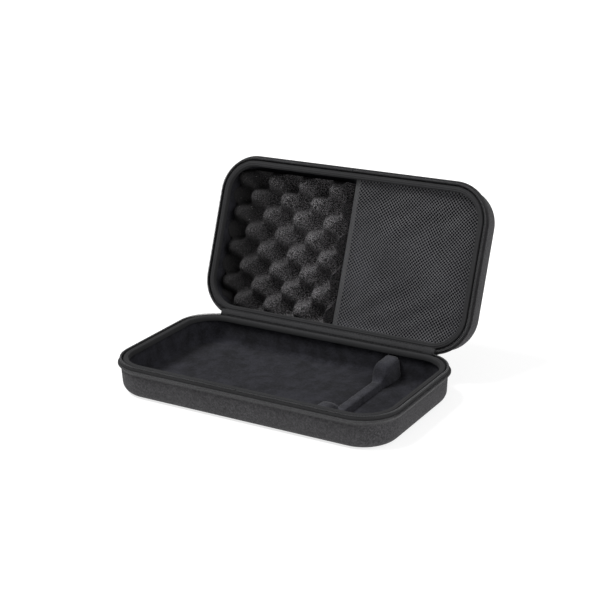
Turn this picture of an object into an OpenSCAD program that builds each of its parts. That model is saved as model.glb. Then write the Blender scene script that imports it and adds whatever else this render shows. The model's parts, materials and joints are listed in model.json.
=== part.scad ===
// Moulded zip-up carry case: two rounded shells hinged along the back,
// egg-crate foam and a mesh pocket in the lid, a divided bay in the base.
// Origin: centre of the base's underside. +X along the length, +Y to the
// hinge, +Z up. The lid is drawn standing open against its stop.

/* [Shells] */
// Length over the rim lips
rim_w = 422; // [380:1:520]
// Depth front to back over the rim lips
rim_d = 234; // [200:1:300]
// Corner radius of the rim lips in plan
rim_r = 55; // [40:1:75]
// Height of the base up to its rim lip
base_h = 42; // [40:1:70]
// Depth of the lid from its rim lip
lid_h = 48; // [44:1:80]
// Wall thickness of the base shell
base_wall = 6; // [3:0.1:7]
// Wall thickness of the lid shell
lid_wall = 3.5; // [2.5:0.1:6]
// Radius of the moulded edge around the base's underside
base_edge_r = 15; // [11:0.5:20]
// Radius of the moulded edge around the lid's top
lid_edge_r = 18; // [11:0.5:24]
// Lean of the side walls from vertical, in degrees
wall_lean = 3; // [1:0.5:6]
// How far the rim lip stands out of the wall
lip_out = 4; // [3:0.1:5]
// Height of the rim lip
lip_h = 4.5; // [3:0.1:6]
// Thickness of the fabric lining
lining_t = 1; // [0.6:0.1:2]

/* [Zip and rim] */
// Height from each rim lip to the plane where the two zip halves meet
zip_half = 6.3; // [5.5:0.1:8]
// Thickness of the zip tape
tape_t = 1.2; // [0.8:0.1:1.6]
// Width of one half of the zip coil, across the tape
coil_w = 2.4; // [2:0.1:2.8]
// Height of one half of the zip coil
coil_h = 1.9; // [1.5:0.1:2.2]
// Width of the padded binding band inside the zip
band_w = 8.4; // [6:0.1:11]
// Height of the padded binding band above the lip
band_h = 5.5; // [4:0.1:5.8]
// Length of one zip slider
slider_l = 14; // [10:0.5:18]
// Length of one zip pull, from its pin
pull_l = 26; // [18:0.5:30]
// Width of one zip pull
pull_w = 6.4; // [5:0.1:8]

/* [Hinge] */
// Angle between the closed lid and the open lid, in degrees
open_angle = 111.3; // [90:0.1:115]
// Length of the fabric hinge strip
spine_l = 224; // [120:1:224]
// Height of each half of the hinge strip below or above the zip plane
spine_half = 13; // [10:0.5:16]
// Thickness of the hinge strip
spine_t = 1; // [0.8:0.1:1]

/* [Divider] */
// Distance of the divider's middle from the case's middle
divider_x = 110; // [80:1:130]
// Width of the two buffer blocks of the divider
buffer_w = 24; // [16:1:30]
// Reach of the front buffer block from the rim line
front_reach = 58; // [40:1:66]
// Reach of the rear buffer block from the rim line
rear_reach = 52; // [40:1:66]
// Height of the buffer blocks' tops above the ground
buffer_top = 38; // [26:1:40]
// Thickness of the low wall between the blocks
bridge_w = 14; // [8:1:20]
// Height of the low wall's top above the ground
bridge_top = 17; // [12:1:24]

/* [Lid fittings] */
// Length of the egg-crate foam along the case
foam_w = 184; // [120:1:190]
// Depth of the egg-crate foam from front to back of the closed lid
foam_d = 204; // [150:1:206]
// Gap between the foam and the lining at its far end
foam_gap = 1; // [0.5:0.5:8]
// Distance of the first peaks from the foam's inner edge
peak_start = 18.5; // [4:0.5:30]
// Thickness of the foam's solid layer
foam_base = 6; // [5:0.5:10]
// Depth of the foam's peaks below the rim lip
foam_sink = 11; // [8:0.5:16]
// Pitch between two foam peaks in one row
foam_pitch_x = 50; // [40:1:60]
// Pitch between two rows of foam peaks
foam_pitch_y = 25.5; // [20:0.5:30]
// Radius of a foam peak
peak_r = 9; // [6:0.5:11]
// Thickness of the mesh pocket's net
mesh_t = 1; // [0.8:0.1:2]
// Depth of the net below the rim lip
mesh_sink = 2; // [1:0.5:5]
// Width of the elastic band along the pocket's mouth
elastic_w = 7; // [5:0.5:12]
// Thickness of the elastic band
elastic_t = 2.4; // [1.5:0.1:3]
// Place of the elastic band's outer edge from the case's middle
pocket_x = 4; // [0:0.5:30]

/* [Handle] */
// Distance between the middles of the two handle brackets
bracket_span = 124; // [100:1:150]
// Width of one bracket plate
bracket_w = 26; // [22:0.5:30]
// Height of the handle's pins above the ground
pin_z = 29; // [26:0.5:30]
// Distance of the pins behind the rim line
pin_out = 3; // [2.5:0.5:6]
// Radius of a handle pin
pin_r = 1.5; // [1.2:0.1:2]
// Reach of the handle from its pins to the middle of the grip
handle_drop = 19; // [17:0.5:20]
// Thickness of the handle's arms
arm_t = 6; // [5:0.5:7]
// Outer radius of the grip sleeve
grip_r = 5; // [4.5:0.1:6]
// Length of the grip sleeve
grip_l = 84; // [60:1:96]

/* [Hidden] */

$fn = 64;
eps = 0.01;
gap = 0.2;                 // clearance kept on each side of the zip plane
arc_steps = 8;             // straight steps in one moulded edge

skin = "#2b2b2d";
lining = "#1e1f25";
webbing = "#303032";
foam_grey = "#353536";
net_black = "#1b1b1c";
zip_black = "#19191a";
gunmetal = "#4a4b4e";
rubber_black = "#232324";

corner_x = rim_w / 2 - rim_r;            // centre of a corner's arc
corner_y = rim_d / 2 - rim_r;
zip_z = base_h + zip_half;               // plane where the zip halves meet
spine_out = -lip_out + spine_t;          // outer face of the hinge strip, from the rim line
hinge_y = rim_d / 2 + spine_out;         // the hinge line lies in that face
lid_lip_z = zip_z + zip_half;            // lid lip when closed
lid_top_z = lid_lip_z + lid_h;

tape_o = -lip_out - tape_t / 2 + 0.4;    // middle of the tape, from the rim line
coil_o = spine_out - coil_w / 2;         // middle of the coil
plate_t = 1.2;                           // thickness of a slider plate
plate_gap = 0.3;                         // slider plate to coil
band_o = coil_o - coil_w / 2 - plate_gap - plate_t - gap;  // outer edge of the band

stop_l = 3;                              // length of a zip end stop
stop_x = spine_l / 2 + 4;                // inner end of a zip end stop
slide_start = stop_x + stop_l;           // where the zip begins on the back
slider_x = slide_start + 0.5 + slider_l / 2;

wall_y = rim_d / 2 - lip_out;            // back wall at the lip's underside
pin_y = rim_d / 2 + pin_out;

// ---------- moulded outlines, as (offset from the rim line, height) ----------

function edge_o(h, r) =
  -lip_out - (h - lip_h - r + r * sin(wall_lean)) * tan(wall_lean) - r * cos(wall_lean);

// outline of the moulding from its floor to the height top, moved in by inset
function tub_line(h, r, inset, top) = concat(
  [for (i = [0 : arc_steps])
    let (a = -90 + (90 - wall_lean) * i / arc_steps)
    [edge_o(h, r) + (r - inset) * cos(a), r + (r - inset) * sin(a)]],
  [[wall_at(h, r, inset, top), top]]);

function wall_at(h, r, inset, z) =
  edge_o(h, r) + (r - inset) / cos(wall_lean) + (z - r) * tan(wall_lean);

function reversed(v) = [for (i = [len(v) - 1 : -1 : 0]) v[i]];

// ---------- sweeps around the rounded rectangle ----------

// one straight side; side 0 faces +X, 1 faces +Y, 2 faces -X, 3 faces -Y
module side(k) {
  reach = k % 2 == 0 ? rim_w / 2 : rim_d / 2;
  run = 2 * (k % 2 == 0 ? corner_y : corner_x);
  rotate([0, 0, 90 * k])
    rotate([90, 0, 0])
      linear_extrude(height = run, center = true)
        translate([reach, 0]) children();
}

// one rounded corner; corner 0 is at +X +Y, then anticlockwise
module corner(k) {
  sx = (k == 0 || k == 3) ? 1 : -1;
  sy = k < 2 ? 1 : -1;
  translate([sx * corner_x, sy * corner_y, 0])
    rotate([0, 0, 90 * k])
      rotate_extrude(angle = 90)
        translate([rim_r, 0]) children();
}

module all_round() {
  for (k = [0 : 3]) {
    side(k) children();
    corner(k) children();
  }
}

// the zip's path: front, both ends, four corners and a short way along the back
module zip_round(back_from) {
  for (k = [0 : 3]) corner(k) children();
  for (k = [0, 2, 3]) side(k) children();
  if (back_from < corner_x)
    for (s = [-1, 1])
      translate([s * (back_from + corner_x) / 2, 0, 0])
        rotate([0, 0, 90]) rotate([90, 0, 0])
          linear_extrude(height = corner_x - back_from, center = true)
            translate([rim_d / 2, 0]) children();
}

// ---------- tubs ----------

// everything inside the moulding's surface moved in by inset
module tub_fill(h, r, inset, top) {
  all_round()
    polygon(concat([[-rim_r, inset]], tub_line(h, r, inset, top), [[-rim_r, top]]));
  translate([-corner_x, -corner_y, inset])
    cube([2 * corner_x, 2 * corner_y, top - inset]);
}

module skin_section(h, r, from, to, top) {
  polygon(concat(
    [[-rim_r, from]], tub_line(h, r, from, top),
    reversed(tub_line(h, r, to, top)), [[-rim_r, to]]));
}

module lip_section(h) {
  translate([-lip_out - eps, h - lip_h]) square([lip_out + eps - lip_h / 2, lip_h]);
  translate([-lip_h / 2, h - lip_h / 2]) circle(d = lip_h);
}

module floor_plate(from, to) {
  translate([-corner_x, -corner_y, from]) cube([2 * corner_x, 2 * corner_y, to - from]);
}

module shell(h, r, wall) {
  all_round() skin_section(h, r, 0, wall, h);
  floor_plate(0, wall);
  for (k = [0 : 3]) corner(k) lip_section(h);
  for (k = [0, 2, 3]) side(k) lip_section(h);
}

module fabric_lining(h, r, wall) {
  all_round() skin_section(h, r, wall, wall + lining_t, h);
  floor_plate(wall, wall + lining_t);
}

// ---------- places ----------

// lid parts are drawn closed and upside down on the lip plane, then opened
module opened() {
  translate([0, hinge_y, zip_z])
    rotate([-open_angle, 0, 0])
      translate([0, -hinge_y, -zip_z]) children();
}

module lid_tub() {
  opened() translate([0, 0, lid_top_z]) mirror([0, 0, 1]) children();
}

module on_base_rim() { translate([0, 0, base_h]) children(); }

module on_lid_rim() {
  opened() translate([0, 0, lid_lip_z]) mirror([0, 0, 1]) children();
}

// ---------- rim sections, as (offset from the rim line, height above the lip) ----------

module band_section() {
  rr = band_h / 2;
  translate([band_o - band_w + rr, 0]) square([band_w - 2 * rr, band_h]);
  translate([band_o - rr, rr]) circle(r = rr);
  translate([band_o - band_w + rr, rr]) circle(r = rr);
  translate([band_o - band_w / 2, 0]) square([band_w / 2, rr]);
}

module tape_section() {
  translate([tape_o - tape_t / 2, 0]) square([tape_t, zip_half - gap - coil_h]);
}

module coil_section() {
  bead = coil_h / 2;
  translate([coil_o - coil_w / 2 + bead, zip_half - gap - coil_h])
    square([coil_w - 2 * bead, coil_h]);
  for (s = [-1, 1])
    translate([coil_o + s * (coil_w / 2 - bead), zip_half - gap - bead]) circle(r = bead);
}

module spine_section(h, r, low) {
  polygon([
    [wall_at(h, r, 0, low), low],
    [wall_at(h, r, 0, h), h],
    [-lip_out, h],
    [-lip_out, h + zip_half - gap],
    [spine_out, h + zip_half - gap],
    [spine_out, h - lip_h],
    [wall_at(h, r, 0, low) + spine_t, low]
  ]);
}

module spine_strip(h, r) {
  rotate([0, 0, 90]) rotate([90, 0, 0])
    linear_extrude(height = spine_l, center = true)
      translate([rim_d / 2, 0]) spine_section(h, r, h + zip_half - spine_half);
}

// ---------- base ----------

module base_shell() color(skin) shell(base_h, base_edge_r, base_wall);

module base_lining() color(lining) fabric_lining(base_h, base_edge_r, base_wall);

module base_binding() color(webbing) on_base_rim() all_round() band_section();

module base_zip_tape() color(zip_black) on_base_rim() zip_round(slide_start) tape_section();

module base_zip_coil() color(zip_black) on_base_rim() zip_round(slide_start) coil_section();

module zip_end_stops() color(gunmetal)
  for (s = [-1, 1])
    translate([s * (stop_x + stop_l / 2), rim_d / 2 + coil_o, zip_z - gap - stop_l / 2])
      cube([stop_l, coil_w, stop_l], center = true);

module hinge_strip_base() color(webbing) spine_strip(base_h, base_edge_r);

// the bay's free volume, inside the lining
module base_bay() {
  tub_fill(base_h, base_edge_r, base_wall + lining_t, base_h);
}

module buffer_block(s, reach) {
  nose = rim_d / 2 - reach;
  intersection() {
    base_bay();
    union() {
      translate([divider_x, s * (nose + buffer_w / 2), 0]) cylinder(d = buffer_w, h = buffer_top);
      translate([divider_x - buffer_w / 2, s > 0 ? nose + buffer_w / 2 : -rim_d / 2, 0])
        cube([buffer_w, reach - buffer_w / 2, buffer_top]);
    }
  }
}

module front_buffer() color(lining) buffer_block(-1, front_reach);

module rear_buffer() color(lining) buffer_block(1, rear_reach);

// the low wall runs into the round noses of both blocks
module divider_bridge() color(lining)
  difference() {
    translate([divider_x - bridge_w / 2, -rim_d / 2 + front_reach - buffer_w / 2,
               base_wall + lining_t])
      cube([bridge_w, rim_d - front_reach - rear_reach + buffer_w,
            bridge_top - base_wall - lining_t]);
    translate([divider_x, -rim_d / 2 + front_reach - buffer_w / 2, 0])
      cylinder(d = buffer_w, h = base_h);
    translate([divider_x, rim_d / 2 - rear_reach + buffer_w / 2, 0])
      cylinder(d = buffer_w, h = base_h);
  }

// ---------- handle ----------

ear_t = 3;                               // thickness of a bracket's ear
ear_r = 4;                               // outer radius of a bracket's ear
plate_h = 16;                            // height of a bracket plate
plate_out = 3;                           // thickness of a bracket plate
eye_w = 14;                              // width of the handle's eye
eye_r = 3.6;                             // outer radius of the handle's eye
run_fit = 0.06;                          // radial clearance on a pin
rivet_r = 2;
rivet_h = 1;
rivet_x = bracket_w / 2 - rivet_r - 0.6;

module handle_bracket(s) {
  translate([s * bracket_span / 2, 0, 0])
    difference() {
      union() {
        translate([-bracket_w / 2, wall_y - 5, pin_z - plate_h + ear_r + 2])
          cube([bracket_w, 5 + plate_out, plate_h - 2]);
        for (e = [-1, 1])
          translate([e * (eye_w / 2 + gap + ear_t / 2), 0, 0]) {
            translate([-ear_t / 2, wall_y, pin_z - ear_r])
              cube([ear_t, pin_y - wall_y, 2 * ear_r]);
            translate([0, pin_y, pin_z]) rotate([0, 90, 0])
              cylinder(r = ear_r, h = ear_t, center = true);
          }
      }
      translate([0, pin_y, pin_z]) rotate([0, 90, 0])
        cylinder(r = pin_r, h = bracket_w + 2, center = true);
      translate([-s * bracket_span / 2, 0, 0])
        tub_fill(base_h, base_edge_r, 0, base_h);
    }
}

module handle_bracket_left() color(rubber_black) handle_bracket(-1);

module handle_bracket_right() color(rubber_black) handle_bracket(1);

module handle_pins() color(gunmetal)
  for (s = [-1, 1])
    translate([s * bracket_span / 2, pin_y, pin_z]) rotate([0, 90, 0])
      cylinder(r = pin_r, h = eye_w + 2 * gap + 2 * ear_t, center = true);

module handle_rivets() color(gunmetal)
  for (s = [-1, 1], e = [-1, 1])
    translate([s * bracket_span / 2 + e * (rivet_x + 0.2), wall_y + plate_out, pin_z - plate_h / 2 + 1])
      rotate([-90, 0, 0]) cylinder(r = rivet_r - 0.2, h = rivet_h);

// a moulded loop: two eyes, two arms and the core of the grip
module handle_frame() color(rubber_black)
  difference() {
    union() {
      for (s = [-1, 1]) {
        translate([s * bracket_span / 2, pin_y, pin_z]) rotate([0, 90, 0])
          cylinder(r = eye_r, h = eye_w, center = true);
        translate([s * bracket_span / 2 - eye_w / 2, pin_y - arm_t / 2, pin_z - handle_drop])
          cube([eye_w, arm_t, handle_drop]);
      }
      translate([0, pin_y, pin_z - handle_drop]) rotate([0, 90, 0])
        cylinder(d = arm_t, h = bracket_span + eye_w, center = true);
    }
    for (s = [-1, 1])
      translate([s * bracket_span / 2, pin_y, pin_z]) rotate([0, 90, 0])
        cylinder(r = pin_r + run_fit, h = eye_w + 2, center = true);
  }

module handle_grip() color(rubber_black)
  translate([0, pin_y, pin_z - handle_drop]) rotate([0, 90, 0])
    difference() {
      cylinder(r = grip_r, h = grip_l, center = true);
      cylinder(d = arm_t, h = grip_l + 2, center = true);
    }

// ---------- lid ----------

module lid_shell() color(skin) lid_tub() shell(lid_h, lid_edge_r, lid_wall);

module lid_lining() color(lining) lid_tub() fabric_lining(lid_h, lid_edge_r, lid_wall);

module lid_binding() color(webbing) on_lid_rim() all_round() band_section();

module lid_zip_tape() color(zip_black) on_lid_rim() zip_round(corner_x) tape_section();

module lid_zip_coil() color(zip_black) on_lid_rim() zip_round(corner_x) coil_section();

module hinge_strip_lid() color(webbing) lid_tub() spine_strip(lid_h, lid_edge_r);

lid_inset = lid_wall + lining_t;
foam_x0 = -rim_w / 2 + lip_out + lid_inset + foam_gap;    // foam's outer end
foam_y1 = rim_d / 2 - lip_out - lid_inset - 2.5;          // foam's hinge side
foam_low = lid_inset;                                     // foam's glued face
peak_top = lid_h - foam_sink;
row_count = floor(foam_d / foam_pitch_y);
column_count = ceil(foam_w / foam_pitch_x);

// the hollow of the lid, inside the lining
module lid_bay() {
  tub_fill(lid_h, lid_edge_r, lid_inset, lid_h);
}

// the egg-crate foam is cut square and clears the lining
module foam_block(low, high) {
  intersection() {
    lid_bay();
    translate([foam_x0, foam_y1 - foam_d, low]) cube([foam_w, foam_d, high - low]);
  }
}

module foam_layer() color(foam_grey) lid_tub() foam_block(foam_low, foam_low + foam_base);

// peaks of the rows from first to last, set like the squares of a chequer board
module foam_peaks(first, last) {
  lid_tub() intersection() {
    foam_block(foam_low + foam_base, peak_top);
    for (j = [first : last], i = [0 : column_count - 1]) {
      px = foam_x0 + foam_w - peak_start - foam_pitch_x * (i + 0.5 * (j % 2));
      py = foam_y1 - foam_d / 2 + foam_pitch_y * (j - (row_count - 1) / 2);
      if (px > foam_x0)
        translate([px, py, foam_low + foam_base]) {
          cylinder(r = peak_r, h = peak_top - foam_low - foam_base - peak_r);
          translate([0, 0, peak_top - foam_low - foam_base - peak_r]) sphere(r = peak_r);
        }
    }
  }
}

module foam_peaks_front() color(foam_grey) foam_peaks(0, ceil(row_count / 2) - 1);

module foam_peaks_hinge() color(foam_grey) foam_peaks(ceil(row_count / 2), row_count - 1);

mesh_top = lid_h - mesh_sink;
mesh_x0 = pocket_x + elastic_w;

module mesh_pocket() color(net_black)
  lid_tub() intersection() {
    lid_bay();
    translate([mesh_x0, -rim_d / 2, mesh_top - mesh_t]) cube([rim_w / 2, rim_d, mesh_t]);
  }

module pocket_elastic() color(webbing)
  lid_tub() intersection() {
    lid_bay();
    translate([pocket_x, -rim_d / 2, mesh_top - (mesh_t + elastic_t) / 2])
      cube([elastic_w, rim_d, elastic_t]);
  }

// ---------- zip sliders and pulls ----------

plate_low = 2.2;                         // bottom of a slider plate above the lip
web_low = zip_half + 0.1;                // underside of the web over the coil
slider_top = web_low + plate_t;
outer_face = coil_o + coil_w / 2 + plate_gap + plate_t;
tie_o = outer_face + 1.8;                // middle of the pull's pin
tie_u = 4;                               // height of the pull's pin above the lip
tie_r = 0.8;
lug_t = 1.6;                             // thickness of a slider lug
pull_eye_r = 1.8;
pull_t = 1.6;

module slider_section() {
  translate([coil_o - coil_w / 2 - plate_gap - plate_t, plate_low])
    square([plate_t, slider_top - plate_low]);
  translate([coil_o + coil_w / 2 + plate_gap, plate_low])
    square([plate_t, slider_top - plate_low]);
  translate([coil_o - coil_w / 2 - plate_gap - plate_t, web_low])
    square([coil_w + 2 * plate_gap + 2 * plate_t, plate_t]);
}

// sliders are drawn at the rear, running along X
module at_slider(s) {
  translate([s * slider_x, rim_d / 2, base_h]) children();
}

module slider(s) {
  at_slider(s) {
    rotate([0, 0, 90]) rotate([90, 0, 0])
      linear_extrude(height = slider_l, center = true) slider_section();
    for (e = [-1, 1])
      translate([e * (pull_w / 2 + gap + lug_t / 2), 0, 0]) {
        translate([-lug_t / 2, outer_face - eps, tie_u - pull_eye_r])
          cube([lug_t, tie_o - outer_face + eps, 2 * pull_eye_r]);
        translate([0, tie_o, tie_u]) rotate([0, 90, 0])
          cylinder(r = pull_eye_r, h = lug_t, center = true);
      }
    translate([0, tie_o, tie_u]) rotate([0, 90, 0])
      cylinder(r = tie_r, h = pull_w + 2 * gap + 0.2, center = true);
  }
}

module slider_left() color(gunmetal) slider(-1);

module slider_right() color(gunmetal) slider(1);

grip_from = 9;                           // where the moulded pull grip begins
pull_grip_t = 2.8;

module pull(s) {
  at_slider(s)
    difference() {
      union() {
        translate([0, tie_o, tie_u]) rotate([0, 90, 0])
          cylinder(r = pull_eye_r, h = pull_w, center = true);
        translate([-pull_w / 2, tie_o - pull_t / 2, tie_u - grip_from])
          cube([pull_w, pull_t, grip_from]);
      }
      translate([0, tie_o, tie_u]) rotate([0, 90, 0])
        cylinder(r = tie_r + run_fit, h = pull_w + 2, center = true);
    }
}

module pull_left() color(gunmetal) pull(-1);

module pull_right() color(gunmetal) pull(1);

module pull_grip(s) {
  at_slider(s)
    translate([0, tie_o + pull_grip_t / 2, tie_u]) rotate([90, 0, 0])
      linear_extrude(height = pull_grip_t) {
        translate([-pull_w / 2, -pull_l + pull_w / 2]) square([pull_w, pull_l - grip_from - pull_w / 2]);
        translate([0, -pull_l + pull_w / 2]) circle(d = pull_w);
      }
}

module pull_grip_left() color(rubber_black) pull_grip(-1);

module pull_grip_right() color(rubber_black) pull_grip(1);

// ---------- nodes ----------

base_shell();
base_lining();
base_binding();
base_zip_tape();
base_zip_coil();
zip_end_stops();
hinge_strip_base();
front_buffer();
rear_buffer();
divider_bridge();
handle_bracket_left();
handle_bracket_right();
handle_pins();
handle_rivets();
handle_frame();
handle_grip();
lid_shell();
lid_lining();
lid_binding();
lid_zip_tape();
lid_zip_coil();
hinge_strip_lid();
foam_layer();
foam_peaks_front();
foam_peaks_hinge();
mesh_pocket();
pocket_elastic();
slider_left();
slider_right();
pull_left();
pull_right();
pull_grip_left();
pull_grip_right();
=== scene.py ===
"""Looks of a moulded zip-up carry case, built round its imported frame.

The case stands open. Its base and lid are rounded shells of fabric moulded over
foam, with a piped lip, a zip, a ribbed binding and a felt lining. The lid holds
egg-crate foam and a net pocket, and the base holds a padded divider. Pieces are
drawn in millimetres in the frame of their own shell and brought to the frame of
the whole, in metres, when they are settled.
"""

import json
import logging
import math
from contextlib import contextmanager
from dataclasses import dataclass
from enum import Enum
from typing import Any, Callable, Iterator, Sequence

import bmesh
import bpy
from mathutils import Matrix, Vector


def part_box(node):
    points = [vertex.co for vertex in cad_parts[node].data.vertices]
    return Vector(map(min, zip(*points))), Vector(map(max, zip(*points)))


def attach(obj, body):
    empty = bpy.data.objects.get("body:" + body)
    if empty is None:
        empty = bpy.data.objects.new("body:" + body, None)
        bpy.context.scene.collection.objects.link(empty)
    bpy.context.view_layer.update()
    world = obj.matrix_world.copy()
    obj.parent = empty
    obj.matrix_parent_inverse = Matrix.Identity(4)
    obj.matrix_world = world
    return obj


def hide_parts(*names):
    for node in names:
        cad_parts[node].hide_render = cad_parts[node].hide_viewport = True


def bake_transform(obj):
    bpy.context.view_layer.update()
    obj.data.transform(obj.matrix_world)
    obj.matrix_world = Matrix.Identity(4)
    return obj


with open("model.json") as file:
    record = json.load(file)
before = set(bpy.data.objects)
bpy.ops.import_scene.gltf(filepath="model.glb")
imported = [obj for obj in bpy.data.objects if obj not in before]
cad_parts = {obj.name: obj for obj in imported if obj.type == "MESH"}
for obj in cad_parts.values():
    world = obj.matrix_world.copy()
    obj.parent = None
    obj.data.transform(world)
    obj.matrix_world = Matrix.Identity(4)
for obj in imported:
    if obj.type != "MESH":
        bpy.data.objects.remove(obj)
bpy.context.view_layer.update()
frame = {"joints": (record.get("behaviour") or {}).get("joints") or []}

LOG = logging.getLogger("carry_case")
MM = 0.001
MERGE = 0.001  # millimetres below which points are one
SEAM = 0.01  # the same, at the middle of a mirrored piece
Point = tuple[float, float]
Ring = list[tuple[float, float, float]]


# --- workbench


class Workbench:
    """The modelling tools, used one after another as by hand."""

    @staticmethod
    def clear() -> None:
        """Leaves edit mode and deselects everything."""
        if bpy.context.mode != "OBJECT":
            bpy.ops.object.mode_set(mode="OBJECT")
        bpy.ops.object.select_all(action="DESELECT")

    @staticmethod
    def focus(*objects: bpy.types.Object) -> None:
        """Selects these objects only, and makes the first one active."""
        Workbench.clear()
        for obj in objects:
            obj.select_set(True)
        bpy.context.view_layer.objects.active = objects[0]

    @staticmethod
    def named(name: str) -> bpy.types.Object:
        """Names the piece that was just added, and its mesh, and returns it."""
        obj = bpy.context.active_object
        obj.name = name
        obj.data.name = name
        return obj

    @staticmethod
    @contextmanager
    def editing(obj: bpy.types.Object, mode: str = "FACE") -> Iterator[bmesh.types.BMesh]:
        """Edit mode on one piece, with nothing selected at the start.

        Args:
            obj: the piece.
            mode: VERT, EDGE or FACE selection.
        """
        Workbench.focus(obj)
        bpy.ops.object.mode_set(mode="EDIT")
        bpy.ops.mesh.select_mode(type=mode)
        bpy.ops.mesh.select_all(action="DESELECT")
        yield bmesh.from_edit_mesh(obj.data)
        bpy.ops.object.mode_set(mode="OBJECT")

    @staticmethod
    def pick(obj: bpy.types.Object, kind: str, test: Callable[[Any], bool]) -> None:
        """Selects the vertices, edges or faces that pass a test.

        Args:
            obj: the piece, in edit mode.
            kind: verts, edges or faces.
            test: says whether an element is wanted.
        """
        bpy.ops.mesh.select_all(action="DESELECT")
        mesh = bmesh.from_edit_mesh(obj.data)
        for element in getattr(mesh, kind):
            if test(element):
                element.select_set(True)
        mesh.select_flush_mode()
        bmesh.update_edit_mesh(obj.data)

    @staticmethod
    def modify(obj: bpy.types.Object, kind: str, **settings: Any) -> None:
        """Adds one modifier and applies it.

        Args:
            obj: the piece.
            kind: the modifier's type.
            settings: the modifier's own settings.
        """
        Workbench.focus(obj)
        modifier = obj.modifiers.new(kind.title(), kind)
        for key, value in settings.items():
            setattr(modifier, key, value)
        bpy.ops.object.modifier_apply(modifier=modifier.name)

    @staticmethod
    def close_up(obj: bpy.types.Object, fill: bool = True) -> None:
        """Merges doubles, fills the open ends and turns the faces outwards.

        Args:
            obj: the piece.
            fill: whether open ends get a face.
        """
        with Workbench.editing(obj, "EDGE"):
            bpy.ops.mesh.select_all(action="SELECT")
            bpy.ops.mesh.remove_doubles(threshold=MERGE)
            if fill:
                bpy.ops.mesh.fill_holes(sides=0)
            bpy.ops.mesh.select_all(action="SELECT")
            bpy.ops.mesh.normals_make_consistent(inside=False)

    @staticmethod
    def join(name: str, parts: Sequence[bpy.types.Object]) -> bpy.types.Object:
        """Joins parts into one piece.

        Args:
            name: the piece's name.
            parts: the parts, the first of which stays.

        Returns:
            The joined piece.
        """
        Workbench.focus(*parts)
        bpy.ops.object.join()
        return Workbench.named(name)

    @staticmethod
    def copy(obj: bpy.types.Object, shift: Sequence[float]) -> bpy.types.Object:
        """A copy with its own mesh.

        Args:
            obj: the piece to copy.
            shift: how far the copy is moved.

        Returns:
            The copy.
        """
        Workbench.focus(obj)
        bpy.ops.object.duplicate(linked=False)
        twin = bpy.context.active_object
        twin.location = Vector(twin.location) + Vector(shift)
        bpy.ops.object.transform_apply(location=True, rotation=True, scale=True)
        return twin

    @staticmethod
    def loft(name: str, rings: Sequence[Ring], ends: bool = True) -> bpy.types.Object:
        """A skin through rings of points: a circle extruded and set on each ring in turn.

        Args:
            name: the piece's name.
            rings: rings with the same number of points.
            ends: whether the two ends are closed.

        Returns:
            The new piece, with its faces turned outwards.
        """
        Workbench.clear()
        bpy.ops.mesh.primitive_circle_add(vertices=len(rings[0]), radius=1.0, fill_type="NOTHING")
        obj = Workbench.named(name)
        for vertex, point in zip(obj.data.vertices, rings[0]):
            vertex.co = point
        with Workbench.editing(obj, "EDGE"):
            bpy.ops.mesh.select_all(action="SELECT")
            for ring in rings[1:]:
                bpy.ops.mesh.extrude_region_move()
                mesh = bmesh.from_edit_mesh(obj.data)
                moved = [vertex for vertex in mesh.verts if vertex.select]
                for vertex, point in zip(moved, ring):
                    vertex.co = point
                bmesh.update_edit_mesh(obj.data)
        Workbench.close_up(obj, fill=ends)
        return obj

    @staticmethod
    def block(name: str, low: Sequence[float], high: Sequence[float]) -> bpy.types.Object:
        """A cube primitive brought to a box, to be shaped further.

        Args:
            name: the piece's name.
            low: the box's low corner.
            high: the box's high corner.

        Returns:
            The new piece.
        """
        Workbench.clear()
        middle = [(a + b) / 2 for a, b in zip(low, high)]
        bpy.ops.mesh.primitive_cube_add(size=1.0, location=middle)
        obj = Workbench.named(name)
        obj.scale = [b - a for a, b in zip(low, high)]
        bpy.ops.object.transform_apply(location=True, rotation=True, scale=True)
        return obj

    @staticmethod
    def rod(
        name: str, centre: Sequence[float], radius: float, length: float, axis: str, sides: int = 24
    ) -> bpy.types.Object:
        """A cylinder primitive along one axis, to be shaped further.

        Args:
            name: the piece's name.
            centre: its middle.
            radius: its radius.
            length: its length.
            axis: X, Y or Z.
            sides: number of sides.

        Returns:
            The new piece.
        """
        Workbench.clear()
        turn = {"X": (0, math.pi / 2, 0), "Y": (math.pi / 2, 0, 0), "Z": (0, 0, 0)}[axis]
        bpy.ops.mesh.primitive_cylinder_add(
            vertices=sides, radius=radius, depth=length, location=centre, rotation=turn
        )
        obj = Workbench.named(name)
        bpy.ops.object.transform_apply(location=True, rotation=True, scale=True)
        return obj

    @staticmethod
    def bevel(obj: bpy.types.Object, width: float, segments: int = 3, angle: float = 40) -> None:
        """Rounds the edges that are sharper than angle."""
        Workbench.modify(
            obj, "BEVEL", width=width, segments=segments, limit_method="ANGLE",
            angle_limit=math.radians(angle), harden_normals=False,
        )

    @staticmethod
    def uneven(obj: bpy.types.Object, height: float, size: float) -> None:
        """Makes a padded or sewn surface slightly uneven.

        Args:
            obj: the piece.
            height: how far points move, in millimetres.
            size: size of the unevenness, in millimetres.
        """
        clouds = bpy.data.textures.new(obj.name + "_unevenness", "CLOUDS")
        clouds.noise_scale = size
        Workbench.modify(obj, "DISPLACE", texture=clouds, strength=height, mid_level=0.5)


# --- rim line


def arc(centre: Point, radius: float, start: float, end: float, steps: int) -> list[Point]:
    """Points of an arc.

    Args:
        centre: its centre.
        radius: its radius.
        start: where it starts, in degrees.
        end: where it ends, in degrees.
        steps: number of its parts.

    Returns:
        The points, one more than there are parts.
    """
    turns = [math.radians(start + (end - start) * i / steps) for i in range(steps + 1)]
    return [(centre[0] + radius * math.cos(t), centre[1] + radius * math.sin(t)) for t in turns]


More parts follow.
